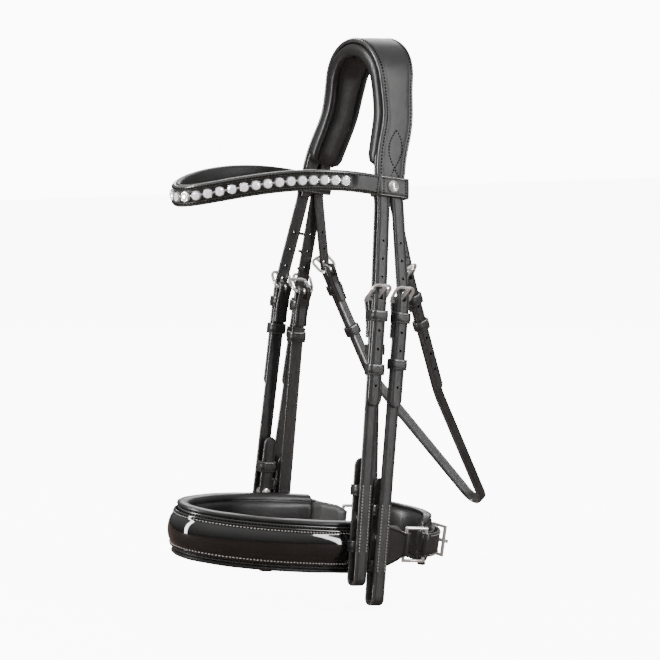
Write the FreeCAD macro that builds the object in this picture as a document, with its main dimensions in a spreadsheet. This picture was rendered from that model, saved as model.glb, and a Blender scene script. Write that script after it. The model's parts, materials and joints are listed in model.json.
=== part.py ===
import FreeCAD, Part
import Sketcher
import math
import os

# A double bridle without its bits: a padded headpiece, a browband, a throatlatch, a padded
# crank noseband on its own hanger, and two cheekpieces a side for the two bits.
#
# Frame, in millimetres: the origin is the middle of the headpiece's underside, where it rests
# on the horse's poll. +X is the horse's left, -Y is forward towards the nose, +Z is up.

DIMENSIONS = {
    # headpiece, seen from the front: an arch with two straight legs that splay outwards
    "crown_inner_radius": 28.5,
    "splay_angle": 11.0,
    "crown_pad_thickness": 8.0,
    "layer_gap": 0.3,
    "strap_thickness": 3.2,
    "crown_leather_thickness": 4.0,
    "crown_pad_margin": 1.5,
    "crown_pad_depth": 99.0,
    "crown_leather_depth": 127.0,
    "hinge_depth": 129.0,
    # headpiece, seen from the side: depths below the poll and the front and rear edges there
    "crown_top": 20.0,
    "waist_depth": 48.0,
    "flare_depth": 100.0,
    "top_front": -1.0,
    "top_rear": 42.0,
    "waist_front": 0.0,
    "waist_rear": 32.0,
    "flare_front": -15.0,
    "flare_rear": 16.0,
    "tail_front": -18.0,
    "tail_rear": 10.0,
    # straps, buckles and keepers
    "strap_width": 13.0,
    "throat_width": 10.0,
    "bar_radius": 1.4,
    "running_gap": 0.06,
    "stack_gap": 0.15,
    "buckle_wire": 2.8,
    "buckle_length": 17.2,
    "buckle_side_room": 1.5,
    "throat_buckle_side_room": 2.3,
    "buckle_slant": 37.0,
    "hanger_buckle_slant": 52.0,
    "tongue_width": 3.0,
    "tongue_thickness": 2.4,
    "tongue_slot_width": 4.0,
    "fold_length": 33.0,
    "keeper_height": 9.6,
    "keeper_wall": 1.6,
    "fixed_keeper_drop": 14.0,
    "throat_keeper_drop": 20.0,
    "hole_radius": 1.3,
    "hole_pitch": 16.0,
    "billet_length": 93.0,
    "throat_billet_length": 113.0,
    # front cheekpiece
    "front_hinge_y": -11.5,
    "front_bar_x": 72.0,
    "front_bar_y": -26.5,
    "front_bar_depth": 211.5,
    "front_fan": 6.3,
    "front_lean": 2.5,
    "front_length": 251.2,
    # rear cheekpiece
    "rear_hinge_y": 3.5,
    "rear_bar_x": 73.0,
    "rear_bar_y": -2.5,
    "rear_bar_depth": 215.0,
    "rear_fan": 7.8,
    "rear_lean": 3.3,
    "rear_length": 267.4,
    # noseband hanger
    "hanger_hinge_y": -12.0,
    "hanger_bar_x": 54.5,
    "hanger_bar_y": -17.2,
    "hanger_bar_depth": 214.5,
    "hanger_fan": 3.6,
    "hanger_lean": 3.24,
    "hanger_length": 218.0,
    # throatlatch
    "throat_hinge_y": 3.0,
    "throat_bar_x": 59.2,
    "throat_bar_y": 15.4,
    "throat_bar_depth": 196.0,
    "throat_fan": -23.0,
    "throat_lean": -6.9,
    "throat_leg_length": 116.0,
    "throat_loop_tilt": 36.7,
    "throat_loop_angle": 15.2,
    "throat_loop_radius": 12.0,
    # end loops of the cheekpieces, which hold the bit rings
    "bit_loop_radius": 3.2,
    "return_length": 112.0,
    "upper_return_keeper": 84.0,
    "lower_return_keeper": 35.0,
    "stud_height": 60.0,
    "stud_shank_radius": 2.0,
    "stud_head_radius": 4.0,
    # runners: drop below the bar on each side
    "runner_drop_left": 61.0,
    "runner_drop_right": 39.0,
    "rear_runner_drop_left": 55.0,
    "rear_runner_drop_right": 41.0,
    "hanger_runner_drop": 43.0,
    "throat_runner_drop_left": 46.0,
    "throat_runner_drop_right": 63.0,
    # browband: an ellipse in plan, an arched wave seen from the side
    "browband_half_width": 65.5,
    "browband_reach": 154.0,
    "browband_centre_y": -30.0,
    "browband_thickness": 3.0,
    "browband_lining_thickness": 3.4,
    "browband_height": 18.0,
    "wave_radius": 353.0,
    "wave_peak_y": -85.0,
    "wave_peak_depth": 106.3,
    "band_end_y": -18.2,
    "lining_end_y": -27.0,
    "loop_x": 58.2,
    "loop_y": -1.6,
    "loop_depth": 115.5,
    "loop_tilt": 8.0,
    "loop_room": 9.3,
    "loop_length": 32.6,
    "loop_wall": 2.0,
    "crystal_radius": 3.5,
    "crystal_height": 2.4,
    "setting_radius": 4.3,
    "setting_height": 1.4,
    "crystal_pitch": 10.4,
    "crystal_end_y": -50.0,
    "button_radius": 5.4,
    "button_height": 2.2,
    "button_offset": -1.4,
    # noseband: a ring of leather, patent and padding that follows an ellipse in plan
    "noseband_y": -55.5,
    "noseband_depth": 426.0,
    "noseband_tilt": 7.0,
    "noseband_roll": 3.0,
    "noseband_half_width": 67.0,
    "noseband_half_length": 128.6,
    "noseband_leather_thickness": 3.0,
    "noseband_leather_height": 38.0,
    "noseband_leather_end": 76.0,
    "patent_thickness": 3.0,
    "patent_height": 32.5,
    "patent_end": 12.0,
    "noseband_pad_thickness": 9.0,
    "noseband_pad_height": 40.0,
    "noseband_pad_end": 60.0,
    # rear closing of the noseband
    "ring_wire": 1.5,
    "ring_height": 30.0,
    "front_bar_ring_x": 50.0,
    "front_bar_ring_y": 79.0,
    "belt_radius": 54.1,
    "belt_centre_y": 83.5,
    "belt_half_angle": 71.5,
    "belt_thickness": 2.4,
    "belt_height": 22.0,
    "belt_gap": 0.1,
    "belt_buckle_angle": -20.0,
    "belt_tip_angle": 6.0,
    "chin_pad_thickness": 11.0,
    "chin_pad_height": 48.0,
    "chin_pad_angle": 62.0,
}

SIDES = {"left": 1, "right": -1}

document = FreeCAD.newDocument("DoubleBridle")


class Size:
    """A number together with the spreadsheet expression that gives it."""

    def __init__(self, value, text):
        self.value = float(value)
        self.text = text

    def __add__(self, other):
        other = size(other)
        return Size(self.value + other.value, f"({self.text} + {other.text})")

    def __sub__(self, other):
        other = size(other)
        return Size(self.value - other.value, f"({self.text} - {other.text})")

    def __mul__(self, other):
        other = size(other)
        return Size(self.value * other.value, f"({self.text} * {other.text})")

    def __truediv__(self, other):
        other = size(other)
        return Size(self.value / other.value, f"({self.text} / {other.text})")

    def __neg__(self):
        return Size(-self.value, f"(0 - {self.text})")

    def __radd__(self, other):
        return size(other) + self

    def __rsub__(self, other):
        return size(other) - self

    def __rmul__(self, other):
        return size(other) * self


def size(number):
    """A plain number as a Size."""
    if isinstance(number, Size):
        return number
    if number < 0:
        return Size(number, f"(0 - {-number!r})")
    return Size(number, repr(number))


def sine(angle):
    return Size(math.sin(math.radians(angle.value)), f"sin({angle.text})")


def cosine(angle):
    return Size(math.cos(math.radians(angle.value)), f"cos({angle.text})")


class Sheet:
    """The driving dimensions: each one is read as an attribute and comes back as a Size."""

    def __init__(self):
        self.cells = document.addObject("Spreadsheet::Sheet", "Dimensions")
        for row, (alias, value) in enumerate(DIMENSIONS.items(), start=1):
            self.cells.set(f"A{row}", alias)
            self.cells.set(f"B{row}", repr(value))
            self.cells.setAlias(f"B{row}", alias)

    def __getattr__(self, alias):
        return Size(DIMENSIONS[alias], f"Dimensions.{alias}")


dim = Sheet()
nodes = {}


def keep(label, item):
    """Give a finished sub-part its node name."""
    item.Label = label
    nodes[label] = item
    return item


# ---------------------------------------------------------------- sketches and plain solids


class Outline:
    """A closed outline of lines and arcs, drawn point by point."""

    def __init__(self, x, y):
        self.points = [(size(x), size(y))]
        self.steps = []

    def line(self, x, y):
        self.points.append((size(x), size(y)))
        self.steps.append(None)
        return self

    def arc(self, x, y, centre_x, centre_y, left_turn):
        self.points.append((size(x), size(y)))
        self.steps.append((size(centre_x), size(centre_y), left_turn))
        return self

    def s_curve(self, x, y):
        """Two arcs that leave and arrive parallel to the y axis."""
        x0, y0 = self.points[-1]
        x, y = size(x), size(y)
        half_x = (x - x0) / 2
        half_y = (y - y0) / 2
        radius = (half_x * half_x + half_y * half_y) / (2 * half_x)
        turn = (half_x.value > 0) != (half_y.value > 0)
        self.arc(x0 + half_x, y0 + half_y, x0 + radius, y0, turn)
        self.arc(x, y, x - radius, y, not turn)
        return self


def rectangle(x0, y0, x1, y1):
    return Outline(x0, y0).line(x1, y0).line(x1, y1).line(x0, y1).line(x0, y0)


def fix_coordinate(sketch, kind, curve, end, value):
    """Hold one coordinate of a point with a bound distance, or on the axis where it is zero."""
    if value.value == 0:
        axis = -2 if kind == "DistanceX" else -1
        sketch.addConstraint(Sketcher.Constraint("PointOnObject", curve, end, axis))
        return
    number = sketch.addConstraint(Sketcher.Constraint(kind, curve, end, value.value))
    sketch.setExpression(f"Constraints[{number}]", value.text)


def draw_outline(sketch, outline):
    ends = []
    for index, step in enumerate(outline.steps):
        start, stop = outline.points[index], outline.points[index + 1]
        first = FreeCAD.Vector(start[0].value, start[1].value, 0)
        last = FreeCAD.Vector(stop[0].value, stop[1].value, 0)
        if step is None:
            curve = sketch.addGeometry(Part.LineSegment(first, last), False)
            ends.append((curve, 1, 2))
            continue
        centre = FreeCAD.Vector(step[0].value, step[1].value, 0)
        radius = (first - centre).Length
        angles = [math.atan2(p.y - centre.y, p.x - centre.x) for p in (first, last)]
        if not step[2]:
            angles.reverse()
        circle = Part.Circle(centre, FreeCAD.Vector(0, 0, 1), radius)
        curve = sketch.addGeometry(Part.ArcOfCircle(circle, angles[0], angles[1]), False)
        ends.append((curve, 1, 2) if step[2] else (curve, 2, 1))
    for index, (curve, start_end, stop_end) in enumerate(ends):
        following = ends[(index + 1) % len(ends)]
        sketch.addConstraint(
            Sketcher.Constraint("Coincident", curve, stop_end, following[0], following[1]))
        x, y = outline.points[index]
        fix_coordinate(sketch, "DistanceX", curve, start_end, x)
        fix_coordinate(sketch, "DistanceY", curve, start_end, y)
    for index, step in enumerate(outline.steps):
        if step is None:
            continue
        start, stop = outline.points[index], outline.points[index + 1]
        wide = abs(stop[0].value - start[0].value) > abs(stop[1].value - start[1].value)
        kind, value = ("DistanceY", step[1]) if wide else ("DistanceX", step[0])
        fix_coordinate(sketch, kind, ends[index][0], 3, value)


def draw_hole(sketch, x, y, radius):
    x, y = size(x), size(y)
    circle = Part.Circle(FreeCAD.Vector(x.value, y.value, 0), FreeCAD.Vector(0, 0, 1), radius.value)
    curve = sketch.addGeometry(circle, False)
    fix_coordinate(sketch, "DistanceX", curve, 3, x)
    fix_coordinate(sketch, "DistanceY", curve, 3, y)
    number = sketch.addConstraint(Sketcher.Constraint("Radius", curve, radius.value))
    sketch.setExpression(f"Constraints[{number}]", radius.text)


def prism(name, plane, outline, start, length, holes=()):
    """A body with one pad: an outline on XY, XZ or YZ, from start along the plane's normal.

    The normals are +Z for XY, -Y for XZ and +X for YZ.
    """
    body = document.addObject("PartDesign::Body", name)
    support = [item for item in body.Origin.OriginFeatures if item.Role == plane + "_Plane"][0]
    sketch = body.newObject("Sketcher::SketchObject", name + "_sketch")
    sketch.AttachmentSupport = (support, [""])
    sketch.MapMode = "FlatFace"
    start = size(start)
    sketch.AttachmentOffset = FreeCAD.Placement(
        FreeCAD.Vector(0, 0, start.value), FreeCAD.Rotation())
    sketch.setExpression("AttachmentOffset.Base.z", start.text)
    draw_outline(sketch, outline)
    for x, y, radius in holes:
        draw_hole(sketch, x, y, radius)
    pad = body.newObject("PartDesign::Pad", name + "_pad")
    pad.Profile = sketch
    pad.setExpression("Length", size(length).text)
    sketch.Visibility = False
    body.Tip = pad
    return body


def box(name, x0, x1, y0, y1, z0, z1):
    block = document.addObject("Part::Box", name)
    low = [size(value) for value in (x0, y0, z0)]
    high = [size(value) for value in (x1, y1, z1)]
    for prop, first, last in zip(("Length", "Width", "Height"), low, high):
        block.setExpression(prop, (last - first).text)
    for axis, first in zip("xyz", low):
        block.setExpression(f"Placement.Base.{axis}", first.text)
    return block


def cylinder(name, radius, height, base, direction):
    """A cylinder from base along direction, a plain unit vector."""
    post = document.addObject("Part::Cylinder", name)
    post.setExpression("Radius", size(radius).text)
    post.setExpression("Height", size(height).text)
    turn = FreeCAD.Rotation(FreeCAD.Vector(0, 0, 1), FreeCAD.Vector(*direction))
    base = [size(value) for value in base]
    post.Placement = FreeCAD.Placement(FreeCAD.Vector(*[b.value for b in base]), turn)
    for axis, value in zip("xyz", base):
        post.setExpression(f"Placement.Base.{axis}", value.text)
    return post


def cut(name, base, tool):
    result = document.addObject("Part::Cut", name)
    result.Base = base
    result.Tool = tool
    return result


def common(name, first, second):
    result = document.addObject("Part::Common", name)
    result.Base = first
    result.Tool = second
    return result


def fuse(name, *shapes):
    result = document.addObject("Part::MultiFuse", name)
    result.Shapes = list(shapes)
    return result


def group(name, *shapes):
    """Separate solids that make one node, such as a left and a right keeper."""
    result = document.addObject("Part::Compound", name)
    result.Links = list(shapes)
    return result


def placed(item, frame):
    """Move an item by a frame; one whose own position is bound moves inside a compound."""
    if any("Placement" in path for path, _ in item.ExpressionEngine):
        item = group(item.Name + "_placed", item)
    item.Placement = frame.multiply(item.Placement)
    return item


# ---------------------------------------------------------------- headpiece


def crown_layers():
    """Inner radius of each layer over the poll: pad, poll straps and outer leather."""
    pad = dim.crown_inner_radius
    strap = pad + dim.crown_pad_thickness + dim.layer_gap
    leather = strap + dim.strap_thickness + dim.layer_gap
    return {"pad": pad, "strap": strap, "leather": leather}


def leg_x(radius, depth):
    """Distance of a splayed leg from the middle plane, at a depth below the poll."""
    tangent_x = radius * cosine(dim.splay_angle)
    tangent_z = radius * sine(dim.splay_angle) - dim.crown_inner_radius
    slope = sine(dim.splay_angle) / cosine(dim.splay_angle)
    return tangent_x + (tangent_z + depth) * slope


def arch_outline(radius, thickness, depth):
    """Front view of one layer: an arch of the given inner radius with two splayed legs."""
    outer = radius + thickness
    centre_z = -dim.crown_inner_radius
    outer_x, inner_x = outer * cosine(dim.splay_angle), radius * cosine(dim.splay_angle)
    outer_z = centre_z + outer * sine(dim.splay_angle)
    inner_z = centre_z + radius * sine(dim.splay_angle)
    outer_foot, inner_foot = leg_x(outer, depth), leg_x(radius, depth)
    outline = Outline(outer_foot, -depth).line(outer_x, outer_z)
    outline.arc(-outer_x, outer_z, 0, centre_z, True)
    outline.line(-outer_foot, -depth).line(-inner_foot, -depth).line(-inner_x, inner_z)
    outline.arc(inner_x, inner_z, 0, centre_z, False)
    return outline.line(inner_foot, -depth).line(outer_foot, -depth)


def side_outline(stations):
    """Side view of a layer through (front, rear, z) stations from the top down."""
    front, rear, z = stations[0]
    outline = Outline(front, z)
    for front, _, z in stations[1:]:
        outline.s_curve(front, z)
    outline.line(stations[-1][1], stations[-1][2])
    for _, rear, z in reversed(stations[:-1]):
        outline.s_curve(rear, z)
    return outline.line(*outline.points[0])


def crown_layer(name, radius, thickness, depth, stations):
    arch = prism(name + "_front_view", "XZ", arch_outline(radius, thickness, depth), -90, 180)
    side = prism(name + "_side_view", "YZ", side_outline(stations), -90, 180)
    return common(name, arch, side)


def crown_stations(margin, depth):
    stations = [
        (dim.top_front - margin, dim.top_rear + margin, dim.crown_top),
        (dim.waist_front - margin, dim.waist_rear + margin, -dim.waist_depth),
        (dim.flare_front - margin, dim.flare_rear + margin, -dim.flare_depth),
    ]
    foot = (dim.tail_front - margin, dim.tail_rear + margin, -depth)
    if depth.value > DIMENSIONS["flare_depth"]:
        return stations + [foot]
    return stations[:2] + [(stations[2][0], stations[2][1], -depth)]


def strap_stations(centres, half_width, depth):
    """Stations of a poll strap whose middle line passes through four places."""
    depths = [dim.crown_top, -dim.waist_depth, -dim.flare_depth, -depth]
    return [(size(c) - half_width, size(c) + half_width, z) for c, z in zip(centres, depths)]


def crown_leather():
    layer = crown_layer("crown_leather", crown_layers()["leather"], dim.crown_leather_thickness,
                        dim.crown_leather_depth, crown_stations(size(0), dim.crown_leather_depth))
    keep("crown_leather", layer)


def crown_padding():
    layer = crown_layer("crown_padding", crown_layers()["pad"], dim.crown_pad_thickness,
                        dim.crown_pad_depth, crown_stations(dim.crown_pad_margin, dim.crown_pad_depth))
    keep("crown_padding", layer)


def poll_strap_arch(name, centres, width, depth):
    return crown_layer(name, crown_layers()["strap"], dim.strap_thickness, depth,
                       strap_stations(centres, width / 2, depth))


# ---------------------------------------------------------------- buckled straps


class StrapSet:
    """One buckled strap: where its buckle bar sits and how the straps lie around it.

    The bar frame has its origin on the bar's axis, x away from the horse, y across the strap
    and z up the strap. Fan is the forward tilt going down, lean the outward tilt going down.
    """

    def __init__(self, prefix, layer, width, length, billet_length, slant, room, above, below):
        self.prefix = prefix
        self.bar = (getattr(dim, prefix + "_bar_x"), getattr(dim, prefix + "_bar_y"),
                    -getattr(dim, prefix + "_bar_depth"))
        self.fan = getattr(dim, prefix + "_fan")
        self.lean = getattr(dim, prefix + "_lean")
        self.hinge_y = getattr(dim, prefix + "_hinge_y")
        self.layer = layer
        self.width = width
        self.length = length
        self.billet_length = billet_length
        self.slant = slant
        self.side_room = room
        self.holes_above = above
        self.holes_below = below

    def frame(self, side):
        """Placement of the bar frame on the left (+1) or right (-1) side."""
        x, y, z = (coordinate.value for coordinate in self.bar)
        turn = side_rotation(side, self.fan.value, self.lean.value)
        return FreeCAD.Placement(FreeCAD.Vector(side * x, y, z), turn)

    def hinge_point(self, side):
        """Where the billet leaves the headpiece, just below the browband."""
        layer = crown_layers()[self.layer]
        thickness = dim.crown_leather_thickness if self.layer == "leather" else dim.strap_thickness
        x = leg_x(layer + thickness / 2, dim.hinge_depth)
        return FreeCAD.Vector(side * x.value, self.hinge_y.value, -DIMENSIONS["hinge_depth"])

    def tail(self, side):
        """Placement and length of the straight billet above the buckle."""
        bend = self.frame(side).multVec(FreeCAD.Vector(billet_middle().value, 0, BEND_HEIGHT))
        hinge = self.hinge_point(side)
        up = (hinge - bend).normalize()
        lean = math.degrees(math.asin(-side * up.x))
        fan = math.degrees(math.atan2(up.y, up.z))
        return FreeCAD.Placement(hinge, side_rotation(side, fan, lean)), (hinge - bend).Length


# The billet bends this far above the bar.
BEND_HEIGHT = 1.0


def side_rotation(side, fan, lean):
    """Turn of a strap frame; the right one is the left one mirrored in the middle plane."""
    turn = FreeCAD.Rotation(FreeCAD.Vector(1, 0, 0), -fan)
    turn = turn.multiply(FreeCAD.Rotation(FreeCAD.Vector(0, 1, 0), -side * lean))
    if side < 0:
        turn = turn.multiply(FreeCAD.Rotation(FreeCAD.Vector(0, 0, 1), 180))
    return turn


def fold_inner():
    """Inner radius of the strap's fold around the buckle bar."""
    return dim.bar_radius + dim.running_gap


def fold_outer():
    return fold_inner() + dim.strap_thickness


def billet_face():
    """x of the billet's inner face, just outside the strap it lies on."""
    return fold_outer() + dim.stack_gap


def billet_middle():
    return billet_face() + dim.strap_thickness / 2


def billet(name, straps, side):
    """A punched strap end in two lengths that meet in a bend above the bar, and its slot."""
    half = straps.width / 2
    reach = straps.billet_length
    tip = Outline(-half, BEND_HEIGHT).line(-half, half - reach)
    tip.arc(half, half - reach, 0, half - reach, True).line(half, BEND_HEIGHT).line(-half, BEND_HEIGHT)
    below = [(0, 5 - dim.hole_pitch * count, dim.hole_radius)
             for count in range(1, straps.holes_below + 1)]
    lower = prism(name + "_tip", "YZ", tip, billet_face(), dim.strap_thickness, below)
    placed(lower, straps.frame(side))
    tail_frame, tail_length = straps.tail(side)
    overlap = 0.8
    above = [(0, 4 - tail_length + DIMENSIONS["hole_pitch"] * count, dim.hole_radius)
             for count in range(1, straps.holes_above + 1)]
    upper = prism(name + "_tail", "YZ", rectangle(-half, -tail_length - overlap, half, 0),
                  -dim.strap_thickness / 2, dim.strap_thickness, above)
    placed(upper, tail_frame)
    slot_half = dim.tongue_slot_width / 2
    slot = box(name + "_slot", 2, 11, -slot_half, slot_half, 0.3, 8.6)
    slot = placed(slot, straps.frame(side))
    return (lower, upper), slot


def slotted_billet(name, straps, side):
    pieces, slot = billet(name, straps, side)
    return cut(name + "_slotted", fuse(name + "_strap", *pieces), slot)


def fold_slot(name):
    """The gap in the strap's fold where the buckle tongue turns."""
    half = dim.tongue_slot_width / 2
    return box(name, -6, 6, -half, half, -8, 6)


def hanging_strap(name, straps):
    """A strap folded around its buckle bar, straight down to its end."""
    inner, outer = fold_inner(), fold_outer()
    profile = Outline(outer, -straps.length).line(outer, 0)
    profile.arc(-outer, 0, 0, 0, True).line(-outer, -dim.fold_length)
    profile.line(-inner, -dim.fold_length).line(-inner, 0)
    profile.arc(inner, 0, 0, 0, False).line(inner, -straps.length).line(outer, -straps.length)
    strap = prism(name + "_profile", "XZ", profile, -straps.width / 2, straps.width)
    return cut(name, strap, fold_slot(name + "_tongue_gap"))


def looped_strap(name, straps):
    """A cheek strap: folded around the bar above, looped back on itself for the bit ring."""
    inner, outer = fold_inner(), fold_outer()
    loop = dim.bit_loop_radius
    centre_x = inner - loop
    centre_z = loop + dim.strap_thickness - straps.length
    return_outer = centre_x - loop
    return_inner = return_outer - dim.strap_thickness
    return_top = dim.return_length - straps.length
    profile = Outline(outer, centre_z).line(outer, 0)
    profile.arc(-outer, 0, 0, 0, True).line(-outer, -dim.fold_length)
    profile.line(-inner, -dim.fold_length).line(-inner, 0)
    profile.arc(inner, 0, 0, 0, False).line(inner, centre_z)
    profile.arc(return_outer, centre_z, centre_x, centre_z, False).line(return_outer, return_top)
    profile.line(return_inner, return_top).line(return_inner, centre_z)
    profile.arc(outer, centre_z, centre_x, centre_z, True)
    strap = prism(name + "_profile", "XZ", profile, -straps.width / 2, straps.width)
    strap = cut(name + "_slotted", strap, fold_slot(name + "_tongue_gap"))
    stud_hole = cylinder(name + "_stud_hole", dim.stud_shank_radius + 0.4, dim.strap_thickness + 2,
                         (return_inner - 1, 0, dim.stud_height - straps.length), (1, 0, 0))
    return cut(name, strap, stud_hole)


def buckle(name, straps):
    """A single-bar buckle: a flat U frame on a round bar."""
    half = straps.width / 2 + straps.side_room
    wire = dim.buckle_wire
    outer_half = half + wire
    corner = 5
    inner_corner = corner - wire
    far = dim.buckle_length
    near = -wire / 2
    frame = Outline(near, -outer_half).line(far - corner, -outer_half)
    frame.arc(far, corner - outer_half, far - corner, corner - outer_half, True)
    frame.line(far, outer_half - corner)
    frame.arc(far - corner, outer_half, far - corner, outer_half - corner, True)
    frame.line(near, outer_half).line(near, half).line(far - corner, half)
    frame.arc(far - wire, half - inner_corner, far - corner, half - inner_corner, False)
    frame.line(far - wire, inner_corner - half)
    frame.arc(far - corner, -half, far - corner, inner_corner - half, False)
    frame.line(near, -half).line(near, -outer_half)
    plate = prism(name + "_frame", "XY", frame, -wire / 2, wire)
    tilt = FreeCAD.Rotation(FreeCAD.Vector(0, 1, 0), straps.slant.value - 90)
    placed(plate, FreeCAD.Placement(FreeCAD.Vector(), tilt))
    bar = cylinder(name + "_bar", dim.bar_radius, 2 * half + wire,
                   (0, -half - wire / 2, 0), (0, 1, 0))
    return fuse(name, plate, bar)


def tongue(name, slant, length, frame_half_thickness, thickness, width, bar_radius):
    """A buckle tongue: an eye around the bar and a straight shank that rests on the frame."""
    bore = bar_radius + dim.running_gap
    eye_radius = bore + 1.5
    rest = length - dim.buckle_wire
    lift = math.degrees(math.atan2((frame_half_thickness + thickness / 2 + 0.15).value, rest.value))
    shank = box(name + "_shank", 0, length + 1.6, -width / 2, width / 2, -thickness / 2, thickness / 2)
    tilt = FreeCAD.Rotation(FreeCAD.Vector(0, 1, 0), slant.value + lift - 90)
    shank = placed(shank, FreeCAD.Placement(FreeCAD.Vector(), tilt))
    eye = cylinder(name + "_eye", eye_radius, width, (0, -width / 2, 0), (0, 1, 0))
    bore_pin = cylinder(name + "_bore", bore, width + 2, (0, -width / 2 - 1, 0), (0, 1, 0))
    return cut(name, fuse(name + "_blank", shank, eye), bore_pin)


def sleeve(name, x0, x1, width, z, height):
    """A leather loop around a stack of straps that fills x0 to x1."""
    gap, wall = dim.stack_gap, dim.keeper_wall
    half = width / 2 + gap
    outside = box(name + "_outside", x0 - gap - wall, x1 + gap + wall, -half - wall, half + wall,
                  z - height / 2, z + height / 2)
    inside = box(name + "_inside", x0 - gap, x1 + gap, -half, half,
                 z - height / 2 - 1, z + height / 2 + 1)
    return cut(name, outside, inside)


def fixed_keeper(name, straps, drop):
    """The keeper sewn just below the buckle, around the fold and the billet."""
    outer = billet_face() + dim.strap_thickness
    return sleeve(name, -fold_outer(), outer, straps.width, -drop, dim.keeper_height)


def runner(name, straps, drop):
    """The loose keeper that slides on the strap and the billet below the fold."""
    outer = billet_face() + dim.strap_thickness
    return sleeve(name, fold_inner(), outer, straps.width, -drop, dim.keeper_height)


def return_keeper(name, straps, height_above_end):
    """A keeper behind the strap, around the end that returns from the bit loop."""
    return_inner = fold_inner() - 2 * dim.bit_loop_radius - dim.strap_thickness
    reach = fold_inner() - dim.keeper_wall - 2 * dim.stack_gap
    return sleeve(name, return_inner, reach, straps.width, height_above_end - straps.length,
                  dim.keeper_height)


def hook_stud(name, straps):
    """The stud behind the strap that the returning strap end buttons on to."""
    z = dim.stud_height - straps.length
    base_x = fold_inner() - dim.stack_gap
    return_inner = fold_inner() - 2 * dim.bit_loop_radius - dim.strap_thickness
    head_x = return_inner - dim.stack_gap
    base = cylinder(name + "_base", dim.stud_head_radius, 1.2, (base_x - 1.2, 0, z), (1, 0, 0))
    shank = cylinder(name + "_shank", dim.stud_shank_radius, base_x - head_x,
                     (head_x, 0, z), (1, 0, 0))
    head = cylinder(name + "_head", dim.stud_head_radius, 1.6, (head_x - 1.6, 0, z), (1, 0, 0))
    return fuse(name, base, shank, head)


def tongue_for(name, straps):
    return tongue(name, straps.slant, dim.buckle_length, dim.buckle_wire / 2,
                  dim.tongue_thickness, dim.tongue_width, dim.bar_radius)


def strap_sets():
    width, room = dim.strap_width, dim.buckle_side_room
    return {
        "front": StrapSet("front", "leather", width, dim.front_length, dim.billet_length,
                          dim.buckle_slant, room, 3, 5),
        "rear": StrapSet("rear", "leather", width, dim.rear_length, dim.billet_length,
                         dim.buckle_slant, room, 3, 5),
        "hanger": StrapSet("hanger", "strap", width, dim.hanger_length, dim.billet_length,
                           dim.hanger_buckle_slant, room, 3, 5),
        "throat": StrapSet("throat", "strap", dim.throat_width, dim.throat_leg_length,
                           dim.throat_billet_length, dim.buckle_slant,
                           dim.throat_buckle_side_room, 2, 6),
    }


def cheekpieces(sets):
    """Front and rear cheekpieces, each with its billet, buckle, keepers, stud and runner."""
    drops = {
        ("front", "left"): dim.runner_drop_left,
        ("front", "right"): dim.runner_drop_right,
        ("rear", "left"): dim.rear_runner_drop_left,
        ("rear", "right"): dim.rear_runner_drop_right,
    }
    for (place, side_name), drop in drops.items():
        straps = sets[place]
        side = SIDES[side_name]
        frame = straps.frame(side)
        name = f"{place}_cheek_{{}}_{side_name}"
        keep(name.format("billet"), slotted_billet(name.format("billet"), straps, side))
        keep(name.format("strap"), placed(looped_strap(name.format("loop"), straps), frame))
        keep(name.format("buckle"), placed(buckle(name.format("frame"), straps), frame))
        keepers = group(
            name.format("sleeves"),
            fixed_keeper(name.format("fixed_keeper"), straps, dim.fixed_keeper_drop),
            return_keeper(name.format("upper_keeper"), straps, dim.upper_return_keeper),
            return_keeper(name.format("lower_keeper"), straps, dim.lower_return_keeper))
        keep(name.format("keepers"), placed(keepers, frame))
        keep(name.format("stud"), placed(hook_stud(name.format("hook"), straps), frame))
        keep(name.format("tongue"), placed(tongue_for(name.format("prong"), straps), frame))
        keep(name.format("runner"), placed(runner(name.format("slider"), straps, drop), frame))


# ---------------------------------------------------------------- noseband hanger


def noseband_hanger(sets):
    """The strap over the poll that carries the noseband, and its two buckled side straps."""
    straps = sets["hanger"]
    arch = poll_strap_arch("hanger_arch", (12, 8, -8.5, DIMENSIONS["hanger_hinge_y"]),
                           dim.strap_width + 0.4, dim.hinge_depth + 0.6)
    strips, slots, hangers, buckles, keepers = [arch], [], [], [], []
    for side_name, side in SIDES.items():
        frame = straps.frame(side)
        pieces, slot = billet("hanger_billet_" + side_name, straps, side)
        strips.extend(pieces)
        slots.append(slot)
        hangers.append(placed(hanging_strap("hanger_" + side_name, straps), frame))
        buckles.append(placed(buckle("hanger_frame_" + side_name, straps), frame))
        keepers.append(placed(fixed_keeper("hanger_fixed_keeper_" + side_name, straps,
                                           dim.fixed_keeper_drop), frame))
        keep("hanger_tongue_" + side_name,
             placed(tongue_for("hanger_prong_" + side_name, straps), frame))
        keep("hanger_runner_" + side_name,
             placed(runner("hanger_slider_" + side_name, straps, dim.hanger_runner_drop), frame))
    poll_strap = cut("hanger_poll_strap", fuse("hanger_strips", *strips), group("hanger_slots", *slots))
    keep("noseband_poll_strap", poll_strap)
    keep("noseband_hangers", group("hanger_pair", *hangers))
    keep("hanger_buckles", group("hanger_frames", *buckles))
    keep("hanger_keepers", group("hanger_fixed_keepers", *keepers))


# ---------------------------------------------------------------- throatlatch


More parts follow.
